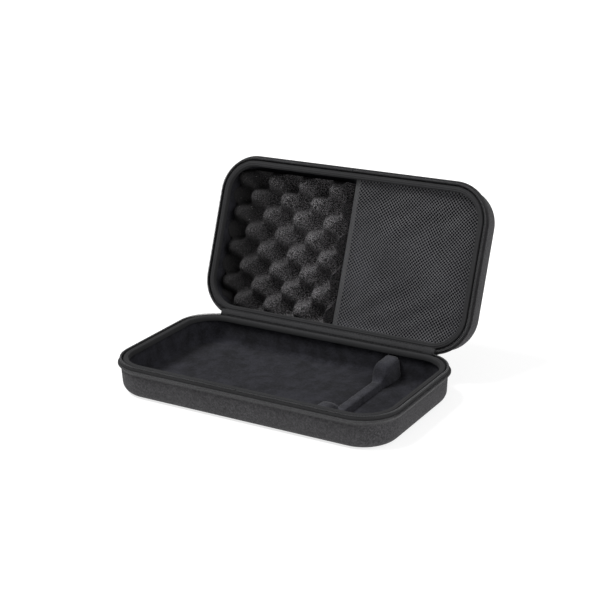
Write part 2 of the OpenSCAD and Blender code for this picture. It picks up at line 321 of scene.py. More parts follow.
@dataclass(frozen=True)
class RimLine:
    """The rounded rectangle that both lips follow. A profile is drawn as points
    (offset outwards from the line, height) and runs round it."""

    width: float
    depth: float
    radius: float = 55.0
    corner_steps: int = 16
    side_steps: int = 6
    rail_steps: int = 240

    @property
    def corner_x(self) -> float:
        """Centre of a corner's arc along X."""
        return self.width / 2 - self.radius

    @property
    def corner_y(self) -> float:
        """Centre of a corner's arc along Y."""
        return self.depth / 2 - self.radius

    def half_length(self, offset: float, start: float) -> float:
        """Length of the half run at an offset, from start on the back to the front's middle."""
        bend = math.pi / 2 * (self.radius + offset)
        return 2 * self.corner_x - start + 2 * bend + 2 * self.corner_y

    def at(self, distance: float, offset: float, start: float, back: int) -> tuple[Vector, float]:
        """A point of the half run, and its heading.

        Args:
            distance: how far along the run from its start.
            offset: outward offset from the rim line.
            start: X of the run's start on the back.
            back: +1 where the back faces +Y, -1 where it faces -Y.

        Returns:
            The point at height 0, and the angle of the outward normal from +Y in radians.
        """
        r = self.radius + offset
        bend = math.pi / 2 * r
        first = self.corner_x - start
        reach = self.depth / 2 + offset
        side = self.width / 2 + offset
        if distance <= first:
            x, y, turn = start + distance, reach, 0.0
        elif distance <= first + bend:
            turn = (distance - first) / r
            x, y = self.corner_x + r * math.sin(turn), self.corner_y + r * math.cos(turn)
        elif distance <= first + bend + 2 * self.corner_y:
            x, y, turn = side, self.corner_y - (distance - first - bend), math.pi / 2
        elif distance <= first + 2 * bend + 2 * self.corner_y:
            turn = math.pi / 2 + (distance - first - bend - 2 * self.corner_y) / r
            x, y = self.corner_x + r * math.sin(turn), -self.corner_y + r * math.cos(turn)
        else:
            x, y, turn = self.half_length(offset, start) - distance, -reach, math.pi
        return Vector((x, back * y, 0)), turn if back > 0 else math.pi - turn

    def sweep(
        self, name: str, profile: Sequence[Point], back: int, start: float = 0.0,
        closed: bool = True,
    ) -> bpy.types.Object:
        """Runs a profile round the rim: extruded along the sides, spun round the corners, mirrored.

        Args:
            name: the piece's name.
            profile: points (offset, height), in order.
            back: +1 where the back faces +Y, -1 where it faces -Y.
            start: X at which the run begins on the back; 0 makes a closed run.
            closed: whether the profile closes on itself.

        Returns:
            The new piece, in millimetres, with its faces turned outwards.
        """
        Workbench.clear()
        bpy.ops.mesh.primitive_circle_add(vertices=len(profile), radius=1.0, fill_type="NOTHING")
        obj = Workbench.named(name)
        for vertex, (offset, height) in zip(obj.data.vertices, profile):
            vertex.co = (start, back * (self.depth / 2 + offset), height)
        last = len(profile) - 1
        quarter = back * math.pi / 2
        with Workbench.editing(obj, "EDGE"):
            if not closed:
                Workbench.pick(
                    obj, "edges", lambda edge: {v.index for v in edge.verts} == {0, last}
                )
                bpy.ops.mesh.delete(type="EDGE")
            bpy.ops.mesh.select_all(action="SELECT")
            self._straight((self.corner_x - start, 0))
            self._bend((self.corner_x, back * self.corner_y), quarter)
            self._straight((0, -back * 2 * self.corner_y))
            self._bend((self.corner_x, -back * self.corner_y), quarter)
            self._straight((-self.corner_x, 0))
        Workbench.modify(
            obj, "MIRROR", use_axis=(True, False, False), use_mirror_merge=start == 0,
            use_clip=False, merge_threshold=MERGE,
        )
        with Workbench.editing(obj, "VERT"):
            Workbench.pick(obj, "verts", lambda v: abs(v.co.x) < SEAM)
            bpy.ops.mesh.remove_doubles(threshold=SEAM)
        Workbench.close_up(obj)
        return obj

    def _straight(self, run: Point) -> None:
        """Extrudes the selected edges along a straight side, in equal steps."""
        step = (run[0] / self.side_steps, run[1] / self.side_steps, 0)
        for _ in range(self.side_steps):
            bpy.ops.mesh.extrude_region_move(TRANSFORM_OT_translate={"value": step})

    def _bend(self, centre: Point, angle: float) -> None:
        """Spins the selected edges round one corner."""
        bpy.ops.mesh.spin(
            steps=self.corner_steps, angle=angle, center=(centre[0], centre[1], 0), axis=(0, 0, 1)
        )

    def measure(self, x: float, y: float) -> Point:
        """Where a point lies by the rim.

        Args:
            x: the point's X.
            y: the point's Y.

        Returns:
            Its place along the rim, and its outward offset from it.
        """
        ax, ay = abs(x) - self.corner_x, abs(y) - self.corner_y
        bend = math.pi / 2 * self.radius
        if ax > 0 and ay > 0:
            turn = math.atan2(ax, ay)
            return self.corner_x + self.radius * turn, math.hypot(ax, ay) - self.radius
        if ay >= ax:
            return abs(x), ay - self.radius
        return self.corner_x + bend + self.corner_y - abs(y), ax - self.radius

    def lay_uv(self, obj: bpy.types.Object) -> None:
        """Gives a swept piece a UV map in millimetres: along the rim, and across it.

        Args:
            obj: the piece, still in its shell's own frame.
        """
        layer = obj.data.uv_layers.new(name="along_rim")
        places = []
        for vertex in obj.data.vertices:
            along, offset = self.measure(vertex.co.x, vertex.co.y)
            places.append((along, offset + vertex.co.z))
        for loop in obj.data.loops:
            layer.data[loop.index].uv = places[loop.vertex_index]

    def run_of(
        self, tooth: bpy.types.Object, pitch: float, offset: float, height: float, back: int,
        start: float,
    ) -> bpy.types.Object:
        """Repeats a small piece along the half rim with an array and a curve, then mirrors it.

        Args:
            tooth: the piece, at the origin, with X along the run and Y outwards.
            pitch: distance between copies, brought to a whole number of copies.
            offset: offset of the run from the rim line.
            height: height of the run.
            back: +1 where the back faces +Y, -1 where it faces -Y.
            start: X at which the run begins on the back.

        Returns:
            The tooth piece, now the whole run.
        """
        length = self.half_length(offset, start)
        count = int(length / pitch)
        pitch = length / count
        path = bpy.data.curves.new("run_path", "CURVE")
        path.dimensions, path.twist_mode = "3D", "Z_UP"
        line = path.splines.new("POLY")
        line.points.add(self.rail_steps)
        for i in range(self.rail_steps + 1):
            place, _ = self.at(length * i / self.rail_steps, offset, start, back)
            line.points[i].co = (place.x, place.y, height, 1)
        rail = bpy.data.objects.new("run_rail", path)
        bpy.context.scene.collection.objects.link(rail)
        Workbench.modify(
            tooth, "ARRAY", count=count, use_relative_offset=False, use_constant_offset=True,
            constant_offset_displace=(pitch, 0, 0),
        )
        Workbench.modify(tooth, "CURVE", object=rail, deform_axis="POS_X")
        Workbench.modify(tooth, "MIRROR", use_axis=(True, False, False), use_mirror_merge=False)
        bpy.data.objects.remove(rail)
        with Workbench.editing(tooth):
            bpy.ops.mesh.select_all(action="SELECT")
            bpy.ops.mesh.normals_make_consistent(inside=False)
        return tooth


# --- materials


class Wiring:
    """Adds nodes to one node tree and joins them."""

    def __init__(self, tree: bpy.types.NodeTree) -> None:
        """Keeps the tree to work on."""
        self.tree = tree

    def feed(self, socket: bpy.types.NodeSocket, value: Any) -> None:
        """Links another socket to this one, or sets its value."""
        if isinstance(value, bpy.types.NodeSocket):
            self.tree.links.new(value, socket)
        else:
            socket.default_value = value

    def node(
        self, kind: str, inputs: dict[Any, Any] | None = None, **settings: Any
    ) -> bpy.types.Node:
        """Adds one node.

        Args:
            kind: the node's type.
            inputs: values or sockets for its inputs, by name or number.
            settings: the node's own settings.

        Returns:
            The node.
        """
        made = self.tree.nodes.new(kind)
        for key, value in settings.items():
            setattr(made, key, value)
        for key, value in (inputs or {}).items():
            self.feed(made.inputs[key], value)
        return made

    def math(self, operation: str, *values: Any) -> bpy.types.NodeSocket:
        """The result of one Math node."""
        return self.node("ShaderNodeMath", dict(enumerate(values)), operation=operation).outputs[0]

    def vector(self, operation: str, *values: Any) -> bpy.types.NodeSocket:
        """The vector result of one Vector Math node."""
        inputs = dict(enumerate(values))
        return self.node("ShaderNodeVectorMath", inputs, operation=operation).outputs[0]

    def split(self, vector: Any) -> list[bpy.types.NodeSocket]:
        """The three parts of a vector."""
        return list(self.node("ShaderNodeSeparateXYZ", {0: vector}).outputs)

    def merge(self, x: Any, y: Any, z: Any = 0.0) -> bpy.types.NodeSocket:
        """A vector from three parts."""
        return self.node("ShaderNodeCombineXYZ", {0: x, 1: y, 2: z}).outputs[0]

    def noise(
        self, vector: Any, scale: Any, detail: float = 2.0, roughness: float = 0.5
    ) -> bpy.types.NodeSocket:
        """The value of one Noise Texture node."""
        return self.node(
            "ShaderNodeTexNoise",
            {"Vector": vector, "Scale": scale, "Detail": detail, "Roughness": roughness},
        ).outputs[0]

    def cells(self, vector: Any, scale: Any) -> Sequence[bpy.types.NodeSocket]:
        """The distance, colour and position of one Voronoi Texture node."""
        inputs = {"Vector": vector, "Scale": scale}
        return self.node("ShaderNodeTexVoronoi", inputs, feature="F1").outputs

    def spread(
        self, value: Any, low: Any, high: Any, out_low: float = 0.0, out_high: float = 1.0
    ) -> bpy.types.NodeSocket:
        """A value brought smoothly from one range to another, and clamped."""
        return self.node(
            "ShaderNodeMapRange",
            {
                "Value": value, "From Min": low, "From Max": high,
                "To Min": out_low, "To Max": out_high,
            },
            interpolation_type="SMOOTHSTEP",
        ).outputs[0]

    def blend(
        self, factor: Any, first: Any, second: Any, mode: str = "MIX"
    ) -> bpy.types.NodeSocket:
        """A mix of two colours."""
        inputs = {0: factor, 6: first, 7: second}
        return self.node("ShaderNodeMix", inputs, data_type="RGBA", blend_type=mode).outputs[2]

    def group(self, effect: "Effect", inputs: dict[str, Any]) -> bpy.types.Node:
        """Places a shared effect with its own values."""
        return self.node("ShaderNodeGroup", inputs, node_tree=Effects.tree(effect))


class Effect(Enum):
    """The shared effects, each one node group."""

    WEAVE = "cloth_weave"
    FELT = "felt_fibres"
    RIBS = "tape_ribs"
    CELLS = "foam_cells"
    # Pale specks, fluff on cloth and painted glints on the foam, and broad fading.
    LINT = "lint_and_dust"
    RUB = "rubbed_edges"


class Effects:
    """Builds each shared effect once, and hands out its node group."""

    _trees: dict[Effect, bpy.types.NodeTree] = {}

    @classmethod
    def tree(cls, effect: Effect) -> bpy.types.NodeTree:
        """The node group of an effect, built when it is first asked for."""
        if effect not in cls._trees:
            cls._trees[effect] = getattr(cls, "_" + effect.value)()
        return cls._trees[effect]

    @staticmethod
    def _start(
        name: str, inputs: Sequence[tuple[str, str, Any]], outputs: Sequence[tuple[str, str]]
    ) -> tuple[Wiring, Any, Any]:
        """Makes an empty group with named sockets.

        Args:
            name: the group's name.
            inputs: name, Float or Vector, and default value of each input.
            outputs: name and Float or Color of each output.

        Returns:
            The wiring, the input node's outputs and the output node.
        """
        tree = bpy.data.node_groups.new(name, "ShaderNodeTree")
        for label, kind, default in inputs:
            socket = tree.interface.new_socket(
                label, in_out="INPUT", socket_type=f"NodeSocket{kind}"
            )
            if default is not None:
                socket.default_value = default
        for label, kind in outputs:
            tree.interface.new_socket(label, in_out="OUTPUT", socket_type=f"NodeSocket{kind}")
        given = tree.nodes.new("NodeGroupInput").outputs
        return Wiring(tree), given, tree.nodes.new("NodeGroupOutput").inputs

    @classmethod
    def _cloth_weave(cls) -> bpy.types.NodeTree:
        """Plain weave seen from three sides, blended by the surface's direction."""
        w, given, out = cls._start(
            "cloth_weave",
            [
                ("Vector", "Vector", None), ("Normal", "Vector", None),
                ("Pitch", "Float", 0.001), ("Fuzz", "Float", 0.3),
            ],
            [("Height", "Float"), ("Thread", "Float")],
        )
        strays = {"Vector": given["Vector"], "Scale": 90.0, "Detail": 1.0}
        wobble = w.node("ShaderNodeTexNoise", strays).outputs[1]
        wobble = w.vector("SUBTRACT", wobble, (0.5, 0.5, 0.5))
        wobble = w.vector("MULTIPLY", wobble, (0.0012, 0.0012, 0.0012))
        place = w.vector("ADD", given["Vector"], wobble)
        turn = w.math("DIVIDE", math.pi, given["Pitch"])
        waves = [w.math("SINE", w.math("MULTIPLY", part, turn)) for part in w.split(place)]
        total: Any = 0.0
        weights: Any = 0.0
        facing = [
            w.math("POWER", w.math("ABSOLUTE", part), 4.0) for part in w.split(given["Normal"])
        ]
        for side, weight in enumerate(facing):
            first, second = waves[(side + 1) % 3], waves[(side + 2) % 3]
            check = w.math("MULTIPLY_ADD", w.math("MULTIPLY", first, second), 0.5, 0.5)
            total = w.math("MULTIPLY_ADD", check, weight, total)
            weights = w.math("ADD", weight, weights)
        cloth = w.math("DIVIDE", total, w.math("MAXIMUM", weights, 0.001))
        fuzz = w.noise(given["Vector"], w.math("DIVIDE", 0.34, given["Pitch"]), 4.0, 0.75)
        mixed = w.math("MULTIPLY_ADD", w.math("SUBTRACT", fuzz, 0.5), given["Fuzz"], cloth)
        w.tree.links.new(mixed, out["Height"])
        w.tree.links.new(w.spread(mixed, 0.25, 0.95), out["Thread"])
        return w.tree

    @classmethod
    def _felt_fibres(cls) -> bpy.types.NodeTree:
        """Short brushed fibres lying every way, and soft patches of nap."""
        w, given, out = cls._start(
            "felt_fibres", [("Vector", "Vector", None), ("Size", "Float", 0.0008)],
            [("Height", "Float"), ("Nap", "Float")],
        )
        scale = w.math("DIVIDE", 1.0, given["Size"])
        fibres: Any = 0.0
        for stretch in ((1.0, 0.22, 0.6), (0.22, 1.0, 0.35), (0.5, 0.4, 1.0)):
            place = w.vector("MULTIPLY", given["Vector"], stretch)
            fibres = w.math("ADD", w.noise(place, scale, 2.0, 0.65), fibres)
        fibres = w.math("MULTIPLY", fibres, 1 / 3)
        nap = w.noise(given["Vector"], 55.0, 3.0, 0.55)
        w.tree.links.new(w.math("MULTIPLY_ADD", nap, 0.6, fibres), out["Height"])
        mixed = w.math("MULTIPLY_ADD", fibres, 0.6, w.math("MULTIPLY", nap, 0.4))
        w.tree.links.new(w.spread(mixed, 0.36, 0.64), out["Nap"])
        return w.tree

    @classmethod
    def _tape_ribs(cls) -> bpy.types.NodeTree:
        """Fine cords along a tape with threads crossing them, on a UV map in millimetres."""
        w, given, out = cls._start(
            "tape_ribs", [("UV", "Vector", None), ("Cross", "Float", 0.8), ("Along", "Float", 1.1)],
            [("Height", "Float"), ("Thread", "Float")],
        )
        along, across, _ = w.split(given["UV"])
        lean = w.math("MULTIPLY_ADD", w.math("PINGPONG", across, given["Along"]), 0.8, along)
        cross_turn, cord_turn = (
            w.math("DIVIDE", 2 * math.pi, given[name]) for name in ("Cross", "Along")
        )
        cross = w.math("SINE", w.math("MULTIPLY", lean, cross_turn))
        cords = w.math("SINE", w.math("MULTIPLY", across, cord_turn))
        height = w.math("MULTIPLY_ADD", cross, 0.22, w.math("MULTIPLY_ADD", cords, 0.28, 0.5))
        w.tree.links.new(height, out["Height"])
        w.tree.links.new(w.spread(height, 0.2, 0.85), out["Thread"])
        return w.tree

    @classmethod
    def _foam_cells(cls) -> bpy.types.NodeTree:
        """Open cells of cut foam: small pits with fine walls."""
        w, given, out = cls._start(
            "foam_cells", [("Vector", "Vector", None), ("Cell", "Float", 0.0012)],
            [("Height", "Float"), ("Pit", "Float")],
        )
        scale = w.math("DIVIDE", 1.0, given["Cell"])
        cells = w.cells(given["Vector"], scale)[0]
        fine = w.cells(given["Vector"], w.math("MULTIPLY", scale, 2.3))[0]
        height = w.math("MULTIPLY_ADD", fine, 0.35, cells)
        rough = w.noise(given["Vector"], w.math("MULTIPLY", scale, 0.45), 3.0, 0.6)
        w.tree.links.new(w.math("MULTIPLY_ADD", rough, 0.3, height), out["Height"])
        w.tree.links.new(w.spread(height, 0.75, 0.2), out["Pit"])
        return w.tree

    @classmethod
    def _lint_and_dust(cls) -> bpy.types.NodeTree:
        """A few pale specks, which are fluff on cloth and painted glints on the foam, and broad
        uneven fading.
        """
        w, given, out = cls._start(
            "lint_and_dust",
            [
                ("Vector", "Vector", None), ("Spacing", "Float", 0.006), ("Amount", "Float", 0.2),
            ],
            [("Lint", "Float"), ("Fade", "Float")],
        )
        cells = w.cells(given["Vector"], w.math("DIVIDE", 1.0, given["Spacing"]))
        chosen = w.math("LESS_THAN", w.split(cells[1])[0], given["Amount"])
        speck = w.spread(cells[0], 0.075, 0.03)
        w.tree.links.new(w.math("MULTIPLY", chosen, speck), out["Lint"])
        cloud = w.noise(given["Vector"], 14.0, 4.0, 0.6)
        w.tree.links.new(w.spread(cloud, 0.32, 0.68), out["Fade"])
        return w.tree

    @classmethod
    def _rubbed_edges(cls) -> bpy.types.NodeTree:
        """Edges that hands and tables have rubbed, broken up by a fine noise."""
        w, given, out = cls._start(
            "rubbed_edges",
            [("Vector", "Vector", None), ("Start", "Float", 0.52), ("End", "Float", 0.60)],
            [("Rub", "Float")],
        )
        point = w.tree.nodes.new("ShaderNodeNewGeometry").outputs["Pointiness"]
        broken = w.noise(given["Vector"], 700.0, 3.0, 0.6)
        edge = w.math("MULTIPLY_ADD", w.math("SUBTRACT", broken, 0.5), 0.06, point)
        edge = w.spread(edge, given["Start"], given["End"])
        w.tree.links.new(edge, out["Rub"])
        return w.tree


Colour = tuple[float, float, float]


@dataclass(frozen=True)
class Finish:
    """What all finishes share: a name, a dark and a light colour, and how they shine."""

    name: str
    dark: Colour
    light: Colour
    roughness: float = 0.85
    bump: float = 0.5
    # Amount of pale specks: fluff on the cloths, painted glints on the foam.
    lint: float = 0.06
    sheen: float = 0.0
    sheen_roughness: float = 0.5
    metallic: float = 0.0
    specular: float = 0.3
    fading: float = 0.16
    # How strongly the pale specks (fluff, and the foam's painted glints) lighten the colour.
    lint_and_painted_glint_cover: float = 0.6

    def material(self) -> bpy.types.Material:
        """The finish as a material, built when it is first asked for."""
        made = bpy.data.materials.get(self.name)
        if made is None:
            made = bpy.data.materials.new(self.name)
            made.use_nodes = True
            made.node_tree.nodes.clear()
            self._wire(Wiring(made.node_tree))
        return made

    def _pattern(self, w: Wiring, place: Any, facing: Any) -> tuple[Any, Any, float]:
        """The finish's own pattern.

        Args:
            w: the material's wiring.
            place: the Object coordinates.
            facing: the surface's direction.

        Returns:
            A height, a mask from dark to light, and the height's size in metres.
        """
        raise NotImplementedError

    def _wire(self, w: Wiring) -> None:
        """Lays out the nodes that every finish has around its own pattern.

        Args:
            w: the material's wiring.
        """
        coords = w.tree.nodes.new("ShaderNodeTexCoord").outputs
        place, facing = coords["Object"], coords["Normal"]
        height, mask, depth = self._pattern(w, place, facing)
        specks_and_fading = w.group(Effect.LINT, {"Vector": place, "Amount": self.lint})
        base = w.blend(mask, (*self.dark, 1.0), (*self.light, 1.0))
        fade = w.math("MULTIPLY_ADD", specks_and_fading.outputs["Fade"], self.fading, 1.0 - self.fading / 2)
        base = w.blend(1.0, base, w.merge(fade, fade, fade), "MULTIPLY")
        pale = tuple(min(1.0, 3.0 * part + 0.05) for part in self.light)
        # Pale specks: fluff on the cloths, and painted glints on the foam, whose amount is high.
        specks = w.math("MULTIPLY", specks_and_fading.outputs["Lint"], self.lint_and_painted_glint_cover)
        base = w.blend(specks, base, (*pale, 1.0))
        rough = w.spread(mask, 0.0, 1.0, min(1.0, self.roughness + 0.05), self.roughness - 0.06)
        relief = {"Height": height, "Strength": self.bump, "Distance": depth}
        bump = w.node("ShaderNodeBump", relief)
        shader = w.node(
            "ShaderNodeBsdfPrincipled",
            {
                "Base Color": base, "Roughness": rough, "Normal": bump.outputs[0],
                "Metallic": self.metallic, "Specular IOR Level": self.specular,
                "Sheen Weight": self.sheen, "Sheen Roughness": self.sheen_roughness,
            },
        )
        w.node("ShaderNodeOutputMaterial", {"Surface": shader.outputs[0]})


@dataclass(frozen=True)
class WovenFinish(Finish):
    """Plain woven cloth moulded over a form."""

    pitch: float = 0.0009
    fuzz: float = 0.5

    def _pattern(self, w: Wiring, place: Any, facing: Any) -> tuple[Any, Any, float]:
        """Weave from the shared group."""
        inputs = {"Vector": place, "Normal": facing, "Pitch": self.pitch, "Fuzz": self.fuzz}
        cloth = w.group(Effect.WEAVE, inputs)
        return cloth.outputs["Height"], cloth.outputs["Thread"], 0.0004


@dataclass(frozen=True)
class FeltFinish(Finish):
    """Brushed lining with a short nap."""

    fibre: float = 0.0011

    def _pattern(self, w: Wiring, place: Any, facing: Any) -> tuple[Any, Any, float]:
        """Fibres from the shared group."""
        felt = w.group(Effect.FELT, {"Vector": place, "Size": self.fibre})
        return felt.outputs["Height"], felt.outputs["Nap"], 0.0007


@dataclass(frozen=True)
class TapeFinish(Finish):
    """Ribbed tape, binding or elastic, on the piece's own UV map."""

    cross: float = 0.9
    along: float = 1.2

    def _pattern(self, w: Wiring, place: Any, facing: Any) -> tuple[Any, Any, float]:
        """Ribs from the shared group, on the UV map."""
        uv = w.tree.nodes.new("ShaderNodeTexCoord").outputs["UV"]
        ribs = w.group(Effect.RIBS, {"UV": uv, "Cross": self.cross, "Along": self.along})
        return ribs.outputs["Height"], ribs.outputs["Thread"], 0.0004


@dataclass(frozen=True)
class FoamFinish(Finish):
    """Cut open-cell foam, with shade painted into its dips. The UV map's first part gives the cut's
    height.
    """

    cell: float = 0.0013
    # Painted shade in the dips: between these cut heights the colour brightens from the dips'
    # painted brightness up to full.
    dip_start: float = -0.05
    dip_end: float = 0.75
    painted_dip_brightness: float = 0.04

    def _pattern(self, w: Wiring, place: Any, facing: Any) -> tuple[Any, Any, float]:
        """Cells from the shared group, with shade painted into the dips."""
        cells = w.group(Effect.CELLS, {"Vector": place, "Cell": self.cell})
        uv = w.tree.nodes.new("ShaderNodeTexCoord").outputs["UV"]
        # Painted shade: the colour is darkened towards the dips, by the cut height in the UV map.
        painted_dip_shade = w.spread(w.split(uv)[0], self.dip_start, self.dip_end, self.painted_dip_brightness, 1.0)
        return cells.outputs["Height"], w.math("MULTIPLY", cells.outputs["Pit"], painted_dip_shade), 0.0008


@dataclass(frozen=True)
class HardFinish(Finish):
    """Moulded plastic, rubber or plated metal with a fine grain and rubbed edges."""

    grain: float = 0.0006

    def _pattern(self, w: Wiring, place: Any, facing: Any) -> tuple[Any, Any, float]:
        """Rubbed edges from the shared group, over a fine grain."""
        rub = w.group(Effect.RUB, {"Vector": place})
        grain = w.noise(place, 1 / self.grain, 3.0, 0.6)
        mask = w.math("MAXIMUM", rub.outputs["Rub"], w.spread(grain, 0.5, 1.0, 0.0, 0.25))
        return grain, mask, 0.00015


SKIN = WovenFinish(
    "moulded_cloth", (0.018, 0.0175, 0.019), (0.061, 0.059, 0.063), roughness=0.88, bump=0.9,
    sheen=0.04, lint=0.03, pitch=0.0009, fuzz=2.2,
)
LIP = WovenFinish(
    "lip_cloth", (0.013, 0.0128, 0.0136), (0.053, 0.052, 0.055), roughness=0.80, bump=0.7,
    sheen=0.06, lint=0.02, pitch=0.0009, fuzz=1.3, specular=0.35,
)
LINING = FeltFinish(
    "lining_felt", (0.0035, 0.0035, 0.005), (0.017, 0.017, 0.023), roughness=0.96, bump=0.8,
    sheen=0.03, lint=0.10,
)
PADDING = FeltFinish(
    "divider_felt", (0.006, 0.006, 0.0085), (0.026, 0.026, 0.034), roughness=0.95, bump=0.8,
    sheen=0.10, lint=0.08,
)
BINDING = TapeFinish(
    "binding_tape", (0.005, 0.005, 0.0055), (0.030, 0.030, 0.032), roughness=0.84, bump=0.8,
    sheen=0.03,
)
ZIP_TAPE = TapeFinish(
    "zip_tape", (0.008, 0.008, 0.009), (0.030, 0.030, 0.031), roughness=0.85, bump=0.5,
    cross=1.0, along=0.8,
)
STRIP = WovenFinish(
    "hinge_cloth", (0.012, 0.012, 0.013), (0.040, 0.040, 0.042), roughness=0.86, bump=0.7,
    pitch=0.0010,
)
ELASTIC = TapeFinish(
    "pocket_elastic_tape", (0.024, 0.024, 0.025), (0.105, 0.105, 0.108), roughness=0.8,
    bump=0.8, cross=0.8, along=1.4,
)
# The foam's colour is darkened into its dips as painted shade, and its many pale specks are painted
# glints.
FOAM = FoamFinish(
    "egg_crate_cut_foam", (0.012, 0.0116, 0.012), (0.36, 0.345, 0.36), roughness=0.98,
    bump=0.9, lint=0.30,
)
NET = WovenFinish(
    "pocket_net_thread", (0.040, 0.040, 0.043), (0.118, 0.118, 0.124), roughness=0.6, bump=0.2,
    pitch=0.0005, sheen=0.0,
)
THREAD = HardFinish(
    "sewing_thread", (0.0012, 0.0012, 0.0014), (0.006, 0.006, 0.007), roughness=0.7, bump=0.2,
)
COIL = HardFinish(
    "zip_coil_plastic", (0.008, 0.008, 0.009), (0.035, 0.035, 0.037), roughness=0.45, bump=0.1,
    specular=0.5,
)
METAL = HardFinish(
    "blackened_metal", (0.05, 0.05, 0.053), (0.34, 0.34, 0.35), roughness=0.36, bump=0.1,
    metallic=0.9, specular=0.5,
)
RUBBER = HardFinish(
    "soft_grip_rubber", (0.016, 0.016, 0.017), (0.05, 0.05, 0.052), roughness=0.68, bump=0.3,
    specular=0.4,
)
MOULDED = HardFinish(
    "moulded_bracket_plastic", (0.018, 0.018, 0.019), (0.06, 0.06, 0.062), roughness=0.5,
    bump=0.25, specular=0.5,
)


# --- frame and dressing


class Half(Enum):
    """The two halves of the case."""

    BASE = "base"
    LID = "lid"


@dataclass(frozen=True)
class CaseFrame:
    """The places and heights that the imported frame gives, in millimetres."""

    rim: RimLine
    base_h: float
    zip_half: float
    hinge_y: float
    hinge_z: float
    open_angle: float
    lid_h: float = 48.0

    @classmethod
    def read(cls) -> "CaseFrame":
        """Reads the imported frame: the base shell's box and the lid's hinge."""
        low, high = (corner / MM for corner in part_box("base_shell"))
        hinge = next(joint for joint in frame["joints"] if joint["name"] == "lid_hinge")
        _, hinge_y, hinge_z = (part / MM for part in hinge["pos_m"])
        return cls(
            rim=RimLine(width=high.x - low.x, depth=-low.y * 2),
            base_h=high.z, zip_half=hinge_z - high.z,
            hinge_y=hinge_y, hinge_z=hinge_z, open_angle=-min(hinge["range_deg"]),
        )

    @property
    def lid_top(self) -> float:
        """Height of the closed lid's top."""
        return self.hinge_z + self.zip_half + self.lid_h

    def opening(self) -> Matrix:
        """The turn that opens the lid, in millimetres."""
        there = Matrix.Translation((0, self.hinge_y, self.hinge_z))
        return there @ Matrix.Rotation(-math.radians(self.open_angle), 4, "X") @ there.inverted()

    def place(self, half: Half) -> Matrix:
        """What brings a piece drawn in its own shell's frame to the frame of the whole.

        Args:
            half: the half that the piece belongs to.

        Returns:
            The turn, move and scale from millimetres to metres.
        """
        if half is Half.BASE:
            return Matrix.Scale(MM, 4)
        upside_down = Matrix.Translation((0, 0, self.lid_top)) @ Matrix.Rotation(math.pi, 4, "X")
        return Matrix.Scale(MM, 4) @ self.opening() @ upside_down

    def opened(self, y: float, z: float) -> Point:
        """Where a point of the closed lid is when the lid stands open."""
        moved = self.opening() @ Vector((0, y, z))
        return moved.y, moved.z


def settle(obj: bpy.types.Object, place: Matrix) -> None:
    """Brings a piece to its place, and leaves its object at the origin.

    Args:
        obj: the piece, drawn in millimetres.
        place: what brings it to the frame of the whole, in metres.
    """
    Workbench.focus(obj)
    obj.matrix_world = place
    bpy.ops.object.transform_apply(location=True, rotation=True, scale=True)


def dress(
    obj: bpy.types.Object, finish: Finish, replaces: Sequence[str] = (),
    smooth: float = 40.0,
) -> bpy.types.Object:
    """Gives a settled piece its finish and shading, and hides the CAD nodes it stands for.

    Args:
        obj: the piece.
        finish: its finish.
        replaces: CAD nodes that it stands for.
        smooth: angle in degrees under which edges are shaded smooth.

    Returns:
        The piece.
    """
    obj.data.materials.clear()
    obj.data.materials.append(finish.material())
    Workbench.focus(obj)
    bpy.ops.object.shade_smooth_by_angle(angle=math.radians(smooth))
    if replaces:
        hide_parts(*replaces)
    LOG.info("%s: %d faces", obj.name, len(obj.data.polygons))
    return obj


# --- shells


